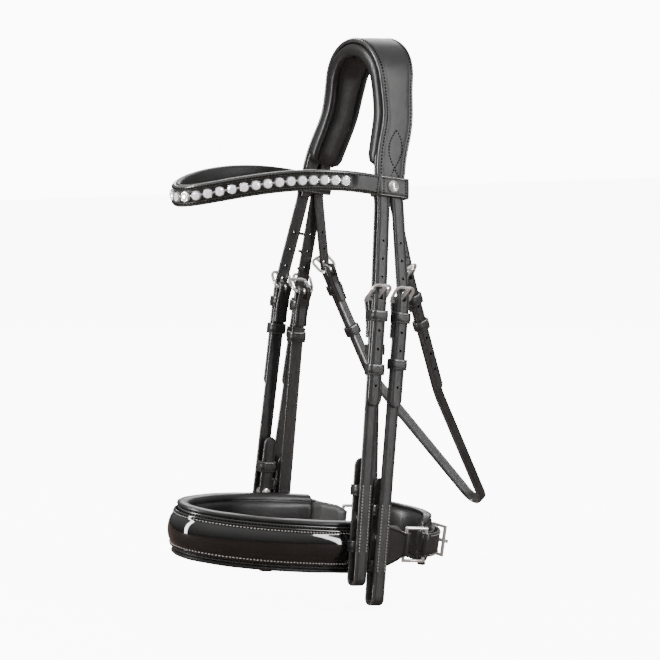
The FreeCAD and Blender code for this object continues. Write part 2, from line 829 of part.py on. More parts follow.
def throat_loop(name, straps):
    """The V below the straight legs, in a plane that falls away to the rear."""
    lean, fan = straps.lean, straps.fan
    leg = straps.length
    middle = fold_inner() + dim.strap_thickness / 2
    top_x = straps.bar[0] + middle * cosine(lean) + leg * sine(lean)
    down = middle * sine(lean) - leg * cosine(lean)
    top_y = straps.bar[1] + down * sine(fan)
    top_z = straps.bar[2] + down * cosine(fan)
    angle = dim.throat_loop_angle
    bend = dim.throat_loop_radius
    half = dim.strap_thickness / 2
    centre_z = -(top_x * cosine(angle) - bend) / sine(angle)
    lead = 2.5
    start_x = top_x + lead * sine(angle)
    start_z = lead * cosine(angle)

    def beside(x, z, offset):
        return x + offset * cosine(angle), z - offset * sine(angle)

    outer_top = beside(start_x, start_z, half)
    inner_top = beside(start_x, start_z, -half)
    outer_foot = beside(size(0), centre_z, bend + half)
    inner_foot = beside(size(0), centre_z, bend - half)
    outline = Outline(-outer_top[0], outer_top[1]).line(-outer_foot[0], outer_foot[1])
    outline.arc(outer_foot[0], outer_foot[1], 0, centre_z, True).line(*outer_top).line(*inner_top)
    outline.line(*inner_foot).arc(-inner_foot[0], inner_foot[1], 0, centre_z, False)
    outline.line(-inner_top[0], inner_top[1]).line(-outer_top[0], outer_top[1])
    loop = prism(name, "XZ", outline, -straps.width / 2, straps.width)
    tilt = FreeCAD.Rotation(FreeCAD.Vector(1, 0, 0), DIMENSIONS["throat_loop_tilt"])
    return placed(loop, FreeCAD.Placement(FreeCAD.Vector(0, top_y.value, top_z.value), tilt))


def throatlatch(sets):
    straps = sets["throat"]
    arch = poll_strap_arch("throat_arch", (30, 22, 6, DIMENSIONS["throat_hinge_y"]),
                           dim.throat_width, dim.crown_leather_depth)
    keep("throatlatch_poll_strap", arch)
    legs, billets, buckles, keepers = [], [], [], []
    drops = {"left": dim.throat_runner_drop_left, "right": dim.throat_runner_drop_right}
    for side_name, side in SIDES.items():
        frame = straps.frame(side)
        billets.append(slotted_billet("throat_billet_" + side_name, straps, side))
        legs.append(placed(hanging_strap("throat_leg_" + side_name, straps), frame))
        buckles.append(placed(buckle("throat_frame_" + side_name, straps), frame))
        keepers.append(placed(fixed_keeper("throat_fixed_keeper_" + side_name, straps,
                                           dim.throat_keeper_drop), frame))
        keep("throatlatch_tongue_" + side_name,
             placed(tongue_for("throat_prong_" + side_name, straps), frame))
        keep("throatlatch_runner_" + side_name,
             placed(runner("throat_slider_" + side_name, straps, drops[side_name]), frame))
    keep("throatlatch_strap", fuse("throat_belt", throat_loop("throat_loop", straps), *legs))
    keep("throatlatch_billets", group("throat_billets", *billets))
    keep("throatlatch_buckles", group("throat_frames", *buckles))
    keep("throatlatch_keepers", group("throat_fixed_keepers", *keepers))


# ---------------------------------------------------------------- browband


def ellipse_wall(name, half_width, half_length, thickness, z0, z1):
    """An upright wall that follows an ellipse in plan: half_width along X, half_length along Y."""
    posts = []
    for part_name, shrink in (("outer", size(0)), ("inner", thickness)):
        curve = document.addObject("Part::Ellipse", f"{name}_{part_name}_curve")
        curve.setExpression("MajorRadius", (half_length - shrink).text)
        curve.setExpression("MinorRadius", (half_width - shrink).text)
        post = document.addObject("Part::Extrusion", f"{name}_{part_name}")
        post.Base = curve
        post.DirMode = "Custom"
        post.Dir = FreeCAD.Vector(0, 0, 1)
        post.Solid = True
        post.setExpression("LengthFwd", (size(z1) - size(z0)).text)
        quarter = FreeCAD.Rotation(FreeCAD.Vector(0, 0, 1), 90)
        post.Placement = FreeCAD.Placement(FreeCAD.Vector(0, 0, size(z0).value), quarter)
        post.setExpression("Placement.Base.z", size(z0).text)
        posts.append(post)
    return cut(name, *posts)


def wave_outline(half_height, end_y):
    """Side view of the browband: an arched strip that rises from the forehead to the temples."""
    centre_y = dim.wave_peak_y
    centre_z = -dim.wave_peak_depth - dim.wave_radius
    front_y = size(-200)

    def height(y, radius):
        reach = y - centre_y
        inside = radius * radius - reach * reach
        return Size(centre_z.value + math.sqrt(inside.value), f"({centre_z.text} + sqrt({inside.text}))")

    top, bottom = dim.wave_radius + half_height, dim.wave_radius - half_height
    outline = Outline(front_y, height(front_y, bottom))
    outline.arc(end_y, height(end_y, bottom), centre_y, centre_z, False)
    outline.line(end_y, height(end_y, top))
    outline.arc(front_y, height(front_y, top), centre_y, centre_z, True)
    return outline.line(front_y, height(front_y, bottom))


def browband_strip(name, inset, thickness, half_height, end_y):
    wall = ellipse_wall(name + "_plan", dim.browband_half_width - inset,
                        dim.browband_reach - inset, thickness, -180, -80)
    forward = FreeCAD.Vector(0, DIMENSIONS["browband_centre_y"], 0)
    wall.Placement = FreeCAD.Placement(forward, FreeCAD.Rotation())
    wall.setExpression("Placement.Base.y", "Dimensions.browband_centre_y")
    wave = prism(name + "_side", "YZ", wave_outline(half_height, end_y), -90, 180)
    return common(name, wall, wave)


def loop_frame(side):
    """Frame of a browband loop: z up the headpiece's leg, x away from the horse."""
    turn = FreeCAD.Rotation(FreeCAD.Vector(0, 1, 0), -side * DIMENSIONS["splay_angle"])
    turn = turn.multiply(FreeCAD.Rotation(FreeCAD.Vector(1, 0, 0), -DIMENSIONS["loop_tilt"]))
    if side < 0:
        turn = turn.multiply(FreeCAD.Rotation(FreeCAD.Vector(0, 0, 1), 180))
    place = FreeCAD.Vector(side * DIMENSIONS["loop_x"], DIMENSIONS["loop_y"], -DIMENSIONS["loop_depth"])
    return FreeCAD.Placement(place, turn)


def browband_loop(name):
    wall, half_x, half_y = dim.loop_wall, dim.loop_room / 2, dim.loop_length / 2
    half_z = dim.browband_height / 2
    outside = box(name + "_outside", -half_x - wall, half_x + wall, -half_y - wall, half_y + wall,
                  -half_z, half_z)
    inside = box(name + "_inside", -half_x, half_x, -half_y, half_y, -half_z - 1, half_z + 1)
    return cut(name, outside, inside)


def stone_places():
    """Points and outward directions of the crystals, evenly spaced along the browband."""
    half_width, reach = DIMENSIONS["browband_half_width"], DIMENSIONS["browband_reach"]
    centre_y = DIMENSIONS["browband_centre_y"]
    radius, peak_y = DIMENSIONS["wave_radius"], DIMENSIONS["wave_peak_y"]
    end_angle = math.acos((centre_y - DIMENSIONS["crystal_end_y"]) / reach)

    def point(angle):
        x = half_width * math.sin(angle)
        y = centre_y - reach * math.cos(angle)
        z = -DIMENSIONS["wave_peak_depth"] - radius + math.sqrt(radius ** 2 - (y - peak_y) ** 2)
        return FreeCAD.Vector(x, y, z)

    steps = 2000
    places, travelled, previous = [], 0.0, point(0)
    places.append((previous, FreeCAD.Vector(0, -1, 0)))
    for count in range(1, steps + 1):
        angle = end_angle * count / steps
        here = point(angle)
        travelled += (here - previous).Length
        previous = here
        if travelled >= DIMENSIONS["crystal_pitch"]:
            travelled -= DIMENSIONS["crystal_pitch"]
            outward = FreeCAD.Vector(math.sin(angle) / half_width, -math.cos(angle) / reach, 0)
            outward.normalize()
            for mirror in (1, -1):
                places.append((FreeCAD.Vector(mirror * here.x, here.y, here.z),
                               FreeCAD.Vector(mirror * outward.x, outward.y, 0)))
    return places


def stone_row(name, radius, height, lift):
    """A row of small discs along the browband, as one compound."""
    row = document.addObject("Part::Feature", name)
    discs = [Part.makeCylinder(radius, height, place + outward * lift, outward)
             for place, outward in stone_places()]
    row.Shape = Part.makeCompound(discs)
    return row


def browband():
    half_height = dim.browband_height / 2
    strip = browband_strip("band_strip", size(0), dim.browband_thickness, half_height, dim.band_end_y)
    loops = [placed(browband_loop("band_loop_" + side_name), loop_frame(side))
             for side_name, side in SIDES.items()]
    keep("browband_leather", fuse("band", strip, *loops))
    keep("browband_lining",
         browband_strip("band_lining", dim.browband_thickness + dim.layer_gap,
                        dim.browband_lining_thickness, half_height - 0.8, dim.lining_end_y))
    keep("browband_settings", stone_row("setting_row", DIMENSIONS["setting_radius"],
                                        DIMENSIONS["setting_height"], 0.1))
    keep("browband_crystals", stone_row("crystal_row", DIMENSIONS["crystal_radius"],
                                        DIMENSIONS["crystal_height"],
                                        DIMENSIONS["setting_height"] + 0.15))
    outer = dim.loop_room / 2 + dim.loop_wall
    buttons = [placed(cylinder("band_button_" + side_name, dim.button_radius, dim.button_height,
                               (outer + 0.1, side * dim.button_offset, 0), (1, 0, 0)), loop_frame(side))
               for side_name, side in SIDES.items()]
    keep("browband_buttons", group("band_buttons", *buttons))


# ---------------------------------------------------------------- noseband


def noseband_frame():
    """Frame of the noseband: a little nose-down and lower on the left, origin in its middle."""
    tilt = FreeCAD.Rotation(FreeCAD.Vector(1, 0, 0), -DIMENSIONS["noseband_tilt"])
    roll = FreeCAD.Rotation(FreeCAD.Vector(0, 1, 0), DIMENSIONS["noseband_roll"])
    place = FreeCAD.Vector(0, DIMENSIONS["noseband_y"], -DIMENSIONS["noseband_depth"])
    return FreeCAD.Placement(place, tilt.multiply(roll))


def noseband_strip(name, inset, thickness, height, end_y):
    """One layer of the noseband, from the front back to end_y on both sides."""
    half_width = dim.noseband_half_width - inset
    half_length = dim.noseband_half_length - inset
    wall = ellipse_wall(name + "_wall", half_width, half_length, thickness, -height / 2, height / 2)
    front = box(name + "_extent", -100, 100, -160, end_y, -50, 50)
    return common(name, wall, front)


def ring_bars():
    """Plan positions of a closing ring's front bar, on the noseband, and rear bar, on the belt."""
    angle = math.radians(DIMENSIONS["belt_half_angle"])
    rear = (DIMENSIONS["belt_radius"] * math.sin(angle),
            DIMENSIONS["belt_centre_y"] + DIMENSIONS["belt_radius"] * math.cos(angle))
    front = (DIMENSIONS["front_bar_ring_x"], DIMENSIONS["front_bar_ring_y"])
    return front, rear


def noseband_leather():
    height = dim.noseband_leather_height
    strip = noseband_strip("nose_leather", size(0), dim.noseband_leather_thickness, height,
                           dim.noseband_leather_end)
    front, _ = ring_bars()
    pieces = [strip]
    pins = []
    end_height = dim.belt_height
    for side_name, side in SIDES.items():
        base = (side * front[0], front[1], -end_height / 2)
        pieces.append(cylinder("nose_eye_" + side_name, dim.ring_wire + 2.6, end_height, base, (0, 0, 1)))
        pins.append(cylinder("nose_eye_bore_" + side_name, dim.ring_wire + dim.belt_gap,
                             end_height + 2, (base[0], base[1], -end_height / 2 - 1), (0, 0, 1)))
    body = cut("nose_leather_bored", fuse("nose_leather_ends", *pieces), group("nose_bores", *pins))
    keep("noseband_leather", placed(body, noseband_frame()))


def noseband_patent():
    inset = -(dim.patent_thickness + dim.layer_gap)
    strip = noseband_strip("nose_patent", inset, dim.patent_thickness, dim.patent_height,
                           dim.patent_end)
    keep("noseband_patent", placed(strip, noseband_frame()))


def noseband_padding():
    inset = dim.noseband_leather_thickness + dim.layer_gap
    strip = noseband_strip("nose_pad", inset, dim.noseband_pad_thickness, dim.noseband_pad_height,
                           dim.noseband_pad_end)
    keep("noseband_padding", placed(strip, noseband_frame()))


def closing_ring(name, side):
    """A rectangular ring of round wire between the noseband's end and the belt."""
    front, rear = ring_bars()
    radius, half = dim.ring_wire, dim.ring_height / 2
    reach = FreeCAD.Vector(side * (rear[0] - front[0]), rear[1] - front[1], 0)
    along = reach / reach.Length
    pieces = []
    for place, (x, y) in (("front", front), ("rear", rear)):
        pieces.append(cylinder(f"{name}_{place}_bar", radius, 2 * half, (side * x, y, -half), (0, 0, 1)))
    for place, z in (("top", half), ("bottom", -half)):
        pieces.append(cylinder(f"{name}_{place}_bar", radius, reach.Length,
                               (side * front[0], front[1], z), (along.x, along.y, 0)))
        for end, (x, y) in (("front", front), ("rear", rear)):
            corner = document.addObject("Part::Sphere", f"{name}_{place}_{end}_corner")
            corner.setExpression("Radius", radius.text)
            corner.Placement.Base = FreeCAD.Vector(side * x, y, z.value)
            pieces.append(corner)
    return fuse(name, *pieces)


def noseband_rings():
    rings = [closing_ring("nose_ring_" + side_name, side) for side_name, side in SIDES.items()]
    keep("noseband_rings", placed(group("nose_rings", *rings), noseband_frame()))


def belt_point(radius, angle):
    """A point on the belt's arc, measured from the rear centre towards the left."""
    return radius * sine(angle), dim.belt_centre_y + radius * cosine(angle)


def arc_slot(radius, half_angle, half_width):
    """An arc with round ends, as the outline of everything within half_width of it."""
    centre_y = dim.belt_centre_y
    outer, inner = radius + half_width, radius - half_width
    outer_x, outer_y = belt_point(outer, half_angle)
    inner_x, inner_y = belt_point(inner, half_angle)
    end_x, end_y = belt_point(radius, half_angle)
    outline = Outline(outer_x, outer_y).arc(-outer_x, outer_y, 0, centre_y, True)
    outline.arc(-inner_x, inner_y, -end_x, end_y, True)
    outline.arc(inner_x, inner_y, 0, centre_y, False)
    return outline.arc(outer_x, outer_y, end_x, end_y, True)


def arc_sector(radius, thickness, start, stop):
    """Part of a ring in plan between two angles from the rear centre towards the left."""
    outer = radius + thickness
    first = belt_point(outer, start)
    outline = Outline(*first).arc(*belt_point(outer, stop), 0, dim.belt_centre_y, False)
    outline.line(*belt_point(radius, stop))
    outline.arc(*belt_point(radius, start), 0, dim.belt_centre_y, True)
    return outline.line(*first)


def crank_strap():
    """The closing strap: a flat belt through both rings, its tip lying on its outside."""
    inner_half = dim.ring_wire + dim.belt_gap
    outer_half = inner_half + dim.belt_thickness
    height = dim.belt_height
    outside = prism("belt_outside", "XY", arc_slot(dim.belt_radius, dim.belt_half_angle, outer_half),
                    -height / 2, height)
    inside = prism("belt_inside", "XY", arc_slot(dim.belt_radius, dim.belt_half_angle, inner_half),
                   -height / 2 - 1, height + 2)
    tip = prism("belt_tip", "XY",
                arc_sector(dim.belt_radius + outer_half - 0.01, dim.belt_thickness,
                           -dim.belt_tip_angle, -dim.belt_buckle_angle - 6),
                -height / 2, height)
    belt = fuse("belt", cut("belt_ring", outside, inside), tip)
    half = dim.tongue_slot_width / 2
    slot = box("belt_slot", -2.8, 9.8, -2.6, 9, -half, half)
    slot = placed(slot, belt_buckle_frame())
    keep("crank_strap", placed(cut("belt_slotted", belt, slot), noseband_frame()))


def belt_buckle_frame():
    """Frame of the belt's buckle: origin on its bar, x along the belt to the left, y outwards."""
    angle = -DIMENSIONS["belt_buckle_angle"]
    x, y = belt_point(dim.belt_radius, size(angle))
    turn = FreeCAD.Rotation(FreeCAD.Vector(0, 0, 1), -angle)
    return FreeCAD.Placement(FreeCAD.Vector(x.value, y.value, 0), turn)


# Outward slope of the belt buckle's frame away from its bar, in degrees, and its length.
BELT_BUCKLE_SLOPE = 24.0
BELT_BUCKLE_LENGTH = 17.0


def crank_buckle():
    """A single-bar buckle whose bar lies between the two layers of the belt."""
    wire = 2.4
    radius = 1.3
    half = dim.belt_height / 2 + 1.0
    outer_half = half + wire
    far = BELT_BUCKLE_LENGTH
    outline = Outline(-radius, -outer_half).line(far, -outer_half).line(far, outer_half)
    outline.line(-radius, outer_half).line(-radius, half).line(far - wire, half)
    outline.line(far - wire, -half).line(-radius, -half).line(-radius, -outer_half)
    plate = prism("belt_buckle_plate", "XZ", outline, -1.2, 2.4)
    tilt = FreeCAD.Rotation(FreeCAD.Vector(0, 0, 1), BELT_BUCKLE_SLOPE)
    placed(plate, FreeCAD.Placement(FreeCAD.Vector(), tilt))
    bar = cylinder("belt_buckle_bar", radius, 2 * half + wire, (0, 0, -half - wire / 2), (0, 0, 1))
    item = fuse("belt_buckle", plate, bar)
    placed(item, belt_buckle_frame())
    keep("crank_buckle", placed(item, noseband_frame()))


def crank_tongue():
    bore = 1.3 + dim.running_gap
    width, thickness = dim.tongue_width, 2.0
    rest = BELT_BUCKLE_LENGTH - 2.4
    lift = math.degrees(math.atan2(1.2 + thickness / 2 + 0.15, rest))
    shank = box("belt_prong_shank", 0, BELT_BUCKLE_LENGTH + 1.5, -thickness / 2, thickness / 2,
                -width / 2, width / 2)
    tilt = FreeCAD.Rotation(FreeCAD.Vector(0, 0, 1), BELT_BUCKLE_SLOPE + lift)
    shank = placed(shank, FreeCAD.Placement(FreeCAD.Vector(), tilt))
    eye = cylinder("belt_prong_eye", bore + 0.9, width, (0, 0, -width / 2), (0, 0, 1))
    pin = cylinder("belt_prong_bore", bore, width + 2, (0, 0, -width / 2 - 1), (0, 0, 1))
    item = cut("belt_prong", fuse("belt_prong_blank", shank, eye), pin)
    placed(item, belt_buckle_frame())
    keep("crank_tongue", placed(item, noseband_frame()))


def chin_pad():
    """The padded cushion between the belt and the jaw."""
    outer = dim.belt_radius - dim.ring_wire - dim.belt_gap - dim.belt_thickness - 0.4
    height = dim.chin_pad_height
    pad = prism("chin_cushion", "XY",
                arc_sector(outer - dim.chin_pad_thickness, dim.chin_pad_thickness,
                           -dim.chin_pad_angle, dim.chin_pad_angle), -height / 2, height)
    keep("chin_pad", placed(pad, noseband_frame()))


# ---------------------------------------------------------------- the whole bridle


def build():
    sets = strap_sets()
    crown_leather()
    crown_padding()
    noseband_hanger(sets)
    throatlatch(sets)
    cheekpieces(sets)
    browband()
    noseband_leather()
    noseband_patent()
    noseband_padding()
    noseband_rings()
    crank_strap()
    crank_buckle()
    crank_tongue()
    chin_pad()
    document.recompute()


def check():
    for item in document.Objects:
        if "Invalid" in item.State or "Error" in item.State:
            raise RuntimeError(f"{item.Name} ({item.Label}) failed: {item.State}")
    for label, item in nodes.items():
        if item.Shape.isNull() or not item.Shape.isValid() or not item.Shape.Solids:
            raise RuntimeError(f"{label} has no valid shape")


def export():
    os.makedirs("parts", exist_ok=True)
    for label, item in nodes.items():
        item.Shape.exportStep(f"parts/{label}.step")


build()
check()
export()
print(len(nodes), "nodes written")
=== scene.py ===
import json
import math

import bpy
import numpy as np
from mathutils import Matrix, Vector, noise

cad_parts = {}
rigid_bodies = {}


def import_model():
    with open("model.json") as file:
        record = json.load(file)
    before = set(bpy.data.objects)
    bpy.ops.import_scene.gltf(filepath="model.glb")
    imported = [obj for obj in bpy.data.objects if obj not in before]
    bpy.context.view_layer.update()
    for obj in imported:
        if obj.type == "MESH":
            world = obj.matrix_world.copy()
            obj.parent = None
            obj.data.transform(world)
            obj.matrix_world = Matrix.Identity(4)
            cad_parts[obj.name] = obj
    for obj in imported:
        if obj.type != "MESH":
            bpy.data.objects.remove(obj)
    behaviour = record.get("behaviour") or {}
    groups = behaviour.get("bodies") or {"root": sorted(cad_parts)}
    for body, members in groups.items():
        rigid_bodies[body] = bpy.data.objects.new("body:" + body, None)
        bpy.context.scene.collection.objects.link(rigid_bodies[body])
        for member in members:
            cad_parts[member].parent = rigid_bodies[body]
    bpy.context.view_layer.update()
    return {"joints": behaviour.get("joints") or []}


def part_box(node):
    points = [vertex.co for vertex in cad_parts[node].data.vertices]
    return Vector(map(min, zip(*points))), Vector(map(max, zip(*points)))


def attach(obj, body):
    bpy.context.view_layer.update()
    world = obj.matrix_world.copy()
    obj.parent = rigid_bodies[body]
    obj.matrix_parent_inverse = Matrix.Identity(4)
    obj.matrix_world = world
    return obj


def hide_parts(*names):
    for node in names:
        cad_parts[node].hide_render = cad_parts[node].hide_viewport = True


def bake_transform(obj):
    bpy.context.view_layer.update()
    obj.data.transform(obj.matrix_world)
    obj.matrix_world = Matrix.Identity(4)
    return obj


# Looks of a double bridle. Lengths are millimetres in the row frame until a mesh is built:
# +X is the horse's left, -Y forward, +Z up, origin under the middle of the headpiece.

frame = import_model()
JOINTS = {joint["name"]: joint for joint in frame["joints"]}
SIDES = {"left": 1, "right": -1}
MM = 0.001
UP = np.array((0.0, 0.0, 1.0))

# headpiece
CROWN_RADIUS = 28.5
SPLAY = math.radians(11)
PAD_LAYER, STRAP_LAYER, LEATHER_LAYER = 32.5, 38.4, 42.3
PAD_THICKNESS, STRAP_THICKNESS, CROWN_THICKNESS = 8.0, 3.0, 3.8
CROWN_FOOT, PAD_FOOT = -119.0, -99.0
HINGE_Z = -129.0
LEATHER_EDGES = ((20, -1, 42), (-48, 0, 32), (-100, -15, 16), (-127, -18, 10))

# buckled straps, in the bar frame: x away from the horse, y across, z up the strap
STRAP_WIDTH, THROAT_WIDTH = 13.0, 10.0
FOLD_MIDDLE = 3.06
BILLET_X = 6.4
CHAPE_END = 32.6
LOOP_MIDDLE = 4.8
RETURN_LENGTH = 112.0
KEEPER_HEIGHT, KEEPER_WALL = 9.6, 1.6
HOLE_RADIUS, HOLE_PITCH = 1.25, 16.0
BUCKLE_LENGTH, BUCKLE_WIRE = 17.2, 2.8
BACK_LEG = -0.35
BAR_SLOT = (-6, -2, -7), (6, 2, 6)
KEEPER_DROP, THROAT_KEEPER_DROP = 14.0, 20.0


# ------------------------------------------------------------------ materials


def set_inputs(node, **values):
    """Sets inputs by name, with underscores for the spaces."""
    for key, value in values.items():
        node.inputs[key.replace("_", " ")].default_value = value


class Nodes:
    """A short way to write a node tree."""

    def __init__(self, name):
        self.material = bpy.data.materials.new(name)
        self.material.use_nodes = True
        self.tree = self.material.node_tree
        self.shader = self.tree.nodes["Principled BSDF"]
        self.where = self.add("ShaderNodeNewGeometry").outputs["Position"]

    def add(self, kind, **settings):
        node = self.tree.nodes.new(kind)
        for key, value in settings.items():
            setattr(node, key, value)
        return node

    def link(self, source, target):
        self.tree.links.new(source, target)

    def noise(self, scale, detail=4.0, roughness=0.55, coordinates=None):
        node = self.add("ShaderNodeTexNoise")
        set_inputs(node, Scale=scale, Detail=detail, Roughness=roughness)
        self.link(coordinates or self.where, node.inputs["Vector"])
        return node.outputs["Fac"]

    def pebbles(self, scale):
        node = self.add("ShaderNodeTexVoronoi", feature="SMOOTH_F1")
        set_inputs(node, Scale=scale, Smoothness=0.6)
        self.link(self.where, node.inputs["Vector"])
        return node.outputs["Distance"]

    def ramp(self, value, *stops):
        node = self.add("ShaderNodeValToRGB")
        self.link(value, node.inputs["Fac"])
        elements = node.color_ramp.elements
        while len(elements) < len(stops):
            elements.new(0.5)
        for element, (place, color) in zip(elements, stops):
            element.position = place
            element.color = color if len(color) == 4 else (*color, 1)
        return node.outputs["Color"]

    def span(self, value, low, high):
        node = self.add("ShaderNodeMapRange")
        self.link(value, node.inputs["Value"])
        set_inputs(node, To_Min=low, To_Max=high)
        return node.outputs["Result"]

    def bump(self, *layers):
        """Bump from (height, strength, distance in metres) layers, the coarsest first."""
        normal = None
        for height, strength, distance in layers:
            node = self.add("ShaderNodeBump")
            set_inputs(node, Strength=strength, Distance=distance)
            self.link(height, node.inputs["Height"])
            if normal is not None:
                self.link(normal, node.inputs["Normal"])
            normal = node.outputs["Normal"]
        self.link(normal, self.shader.inputs["Normal"])

    def colour(self, source):
        self.link(source, self.shader.inputs["Base Color"])

    def roughness(self, source, low, high):
        self.link(self.span(source, low, high), self.shader.inputs["Roughness"])

    def set(self, **values):
        set_inputs(self.shader, **values)


def grey(value, warm=0.0):
    return (value * (1 + warm), value, value * (1 - warm), 1)


def leather(name, dark, light, rough_low, rough_high, grain, grain_depth, coat=0.0):
    """Dyed leather: fine pebbled grain, faint long creases, and patches that shine more."""
    nodes = Nodes(name)
    patches = nodes.noise(38, 5, 0.6)
    nodes.colour(nodes.ramp(patches, (0.3, grey(dark, 0.02)), (0.72, grey(light, 0.02))))
    nodes.roughness(nodes.noise(210, 6, 0.7), rough_low, rough_high)
    nodes.bump((nodes.noise(95, 3), 0.16, 0.0006), (nodes.pebbles(grain), 0.34, grain_depth),
               (nodes.noise(grain * 2.3, 2), 0.22, grain_depth * 0.5))
    nodes.set(Coat_Weight=coat, Coat_Roughness=0.22, Specular_IOR_Level=0.5)
    return nodes.material


def patent_leather():
    """Lacquered leather: black, mirror-bright, with the faint ripple of the hide below."""
    nodes = Nodes("patent")
    nodes.colour(nodes.ramp(nodes.noise(24, 3), (0.3, grey(0.003)), (0.8, grey(0.008, 0.1))))
    nodes.roughness(nodes.noise(160, 4), 0.03, 0.09)
    nodes.bump((nodes.noise(42, 2), 0.10, 0.0012), (nodes.noise(600, 2), 0.02, 0.0002))
    nodes.set(Coat_Weight=1.0, Coat_Roughness=0.02)
    return nodes.material


def polished_steel(name, tone, rough_low, rough_high):
    nodes = Nodes(name)
    stretch = nodes.add("ShaderNodeMapping")
    set_inputs(stretch, Scale=(1.0, 1.0, 9.0))
    nodes.link(nodes.where, stretch.inputs["Vector"])
    lines = nodes.noise(700, 3, 0.6, stretch.outputs["Vector"])
    nodes.colour(nodes.ramp(nodes.noise(120, 4), (0.3, grey(tone * 0.86, 0.02)), (0.7, grey(tone, 0.02))))
    nodes.roughness(lines, rough_low, rough_high)
    nodes.bump((lines, 0.05, 0.00008), (nodes.noise(260, 3), 0.05, 0.0002))
    # painted glow: a faint warm emission that brightens the steel without a lamp
    nodes.set(Metallic=1.0, Emission_Color=(0.9, 0.87, 0.84, 1), Emission_Strength=0.22 * tone)
    return nodes.material


def cut_crystal():
    """Foil-backed crystal: faceted, slightly cloudy in patches, and brightened by a painted glow from its
    emission.
    """
    nodes = Nodes("crystal")
    nodes.colour(nodes.ramp(nodes.noise(420, 2), (0.35, (0.55, 0.56, 0.6)), (0.6, (0.97, 0.97, 1.0))))
    nodes.roughness(nodes.noise(900, 2), 0.02, 0.12)
    nodes.set(Metallic=0.55, Coat_Weight=1.0, Coat_Roughness=0.02)
    # painted glow: an emission that makes the crystals shine and sparkle without a lamp
    nodes.set(Emission_Color=(0.9, 0.92, 1.0, 1), Emission_Strength=0.8)
    return nodes.material


def thread(name, tone, rough):
    """Waxed linen thread: twisted strands across its length."""
    nodes = Nodes(name)
    twist = nodes.add("ShaderNodeTexWave", wave_type="BANDS", bands_direction="DIAGONAL")
    set_inputs(twist, Scale=900, Distortion=1.5)
    nodes.link(nodes.where, twist.inputs["Vector"])
    nodes.colour(nodes.ramp(twist.outputs["Fac"], (0.2, grey(tone * 0.6)), (0.8, grey(tone, 0.04))))
    nodes.bump((twist.outputs["Fac"], 0.4, 0.00015))
    nodes.set(Roughness=rough, Specular_IOR_Level=0.12 if tone < 0.1 else 0.5)
    return nodes.material


def studio_floor():
    """A pale floor that keeps its shadows but stays bright to the camera; to glossy rays it is dark brown, a
    painted reflection in the patent leather.
    """
    nodes = Nodes("floor")
    rays = nodes.add("ShaderNodeLightPath")
    blend = nodes.add("ShaderNodeMix", data_type="RGBA")
    nodes.link(rays.outputs["Is Glossy Ray"], blend.inputs["Factor"])
    nodes.link(nodes.ramp(nodes.noise(6, 3), (0.3, grey(0.86)), (0.7, grey(0.9))), blend.inputs["A"])
    # painted reflection: glossy rays see the floor dark warm brown, so the patent leather mirrors a warm
    # table
    blend.inputs["B"].default_value = (0.075, 0.045, 0.035, 1)
    nodes.colour(blend.outputs["Result"])
    nodes.link(nodes.span(rays.outputs["Is Camera Ray"], 0.0, FLOOR_GLOW),
               nodes.shader.inputs["Emission Strength"])
    nodes.set(Emission_Color=(1, 1, 1, 1), Roughness=0.9)
    return nodes.material


FLOOR_GLOW, FLOOR_LEVEL, FLOOR_REACH = 9.0, -0.4815, 6.0
WORLD_SEEN, WORLD_LOW, WORLD_HIGH = 11.0, 0.07, 0.9
STRAP = leather("strap_leather", 0.013, 0.023, 0.32, 0.46, 1500, 0.00022)
# edge leather: glossier than the face, as painted edges are, and lighter in colour, a painted highlight
# along every strap edge
EDGE = leather("strap_edge", 0.022, 0.045, 0.14, 0.26, 700, 0.0001, coat=0.8)
SOFT = leather("soft_leather", 0.008, 0.015, 0.28, 0.42, 1100, 0.0003, coat=0.15)
# the end pillows' leather: far lighter than the soft leather, a painted sheen where the pillows catch the
# light
PUFFED_PAINTED_SHEEN = leather("puffed_leather", 0.045, 0.075, 0.26, 0.38, 1100, 0.0003, coat=0.2)
LINING = leather("lining_leather", 0.010, 0.018, 0.36, 0.5, 900, 0.0003)
PATENT = patent_leather()
STEEL = polished_steel("steel", 0.86, 0.10, 0.2)
DARK_METAL = polished_steel("dark_cup", 0.16, 0.2, 0.34)
CRYSTAL = cut_crystal()
DARK_THREAD = thread("dark_thread", 0.002, 0.9)
LIGHT_THREAD = thread("light_thread", 0.36, 0.3)
# walls of punched holes and slots: darker than the strap, painted shade inside the recesses
HOLE = leather("hole_edge", 0.006, 0.012, 0.5, 0.8, 900, 0.0002)
LEATHERS = (STRAP, EDGE, DARK_THREAD, HOLE)


# ------------------------------------------------------------------ paths and sections


def unit(vectors):
    return vectors / np.linalg.norm(vectors, axis=-1, keepdims=True)


def resample(points, step):
    """Points along a polyline at even steps, its ends kept."""
    points = np.array(points, float)
    lengths = np.r_[0, np.cumsum(np.linalg.norm(np.diff(points, axis=0), axis=1))]
    count = max(2, int(round(lengths[-1] / step)) + 1)
    places = np.linspace(0, lengths[-1], count)
    return np.stack([np.interp(places, lengths, points[:, k]) for k in range(points.shape[1])], 1)


def soften(values, reach):
    """A running average over a number of neighbours, with the ends kept."""
    values = np.array(values, float)
    padded = np.concatenate([2 * values[0] - values[reach:0:-1], values,
                             2 * values[-1] - values[-2:-reach - 2:-1]])
    kernel = np.ones(2 * reach + 1) / (2 * reach + 1)
    return np.stack([np.convolve(padded[:, k], kernel, "valid") for k in range(values.shape[1])], 1)


def arc_points(centre, radius, start, stop, count):
    """Points of an arc in the local xz plane, angles in degrees from +x towards +z."""
    angles = np.radians(np.linspace(start, stop, count))
    return [(centre[0] + radius * math.cos(a), 0.0, centre[1] + radius * math.sin(a)) for a in angles]


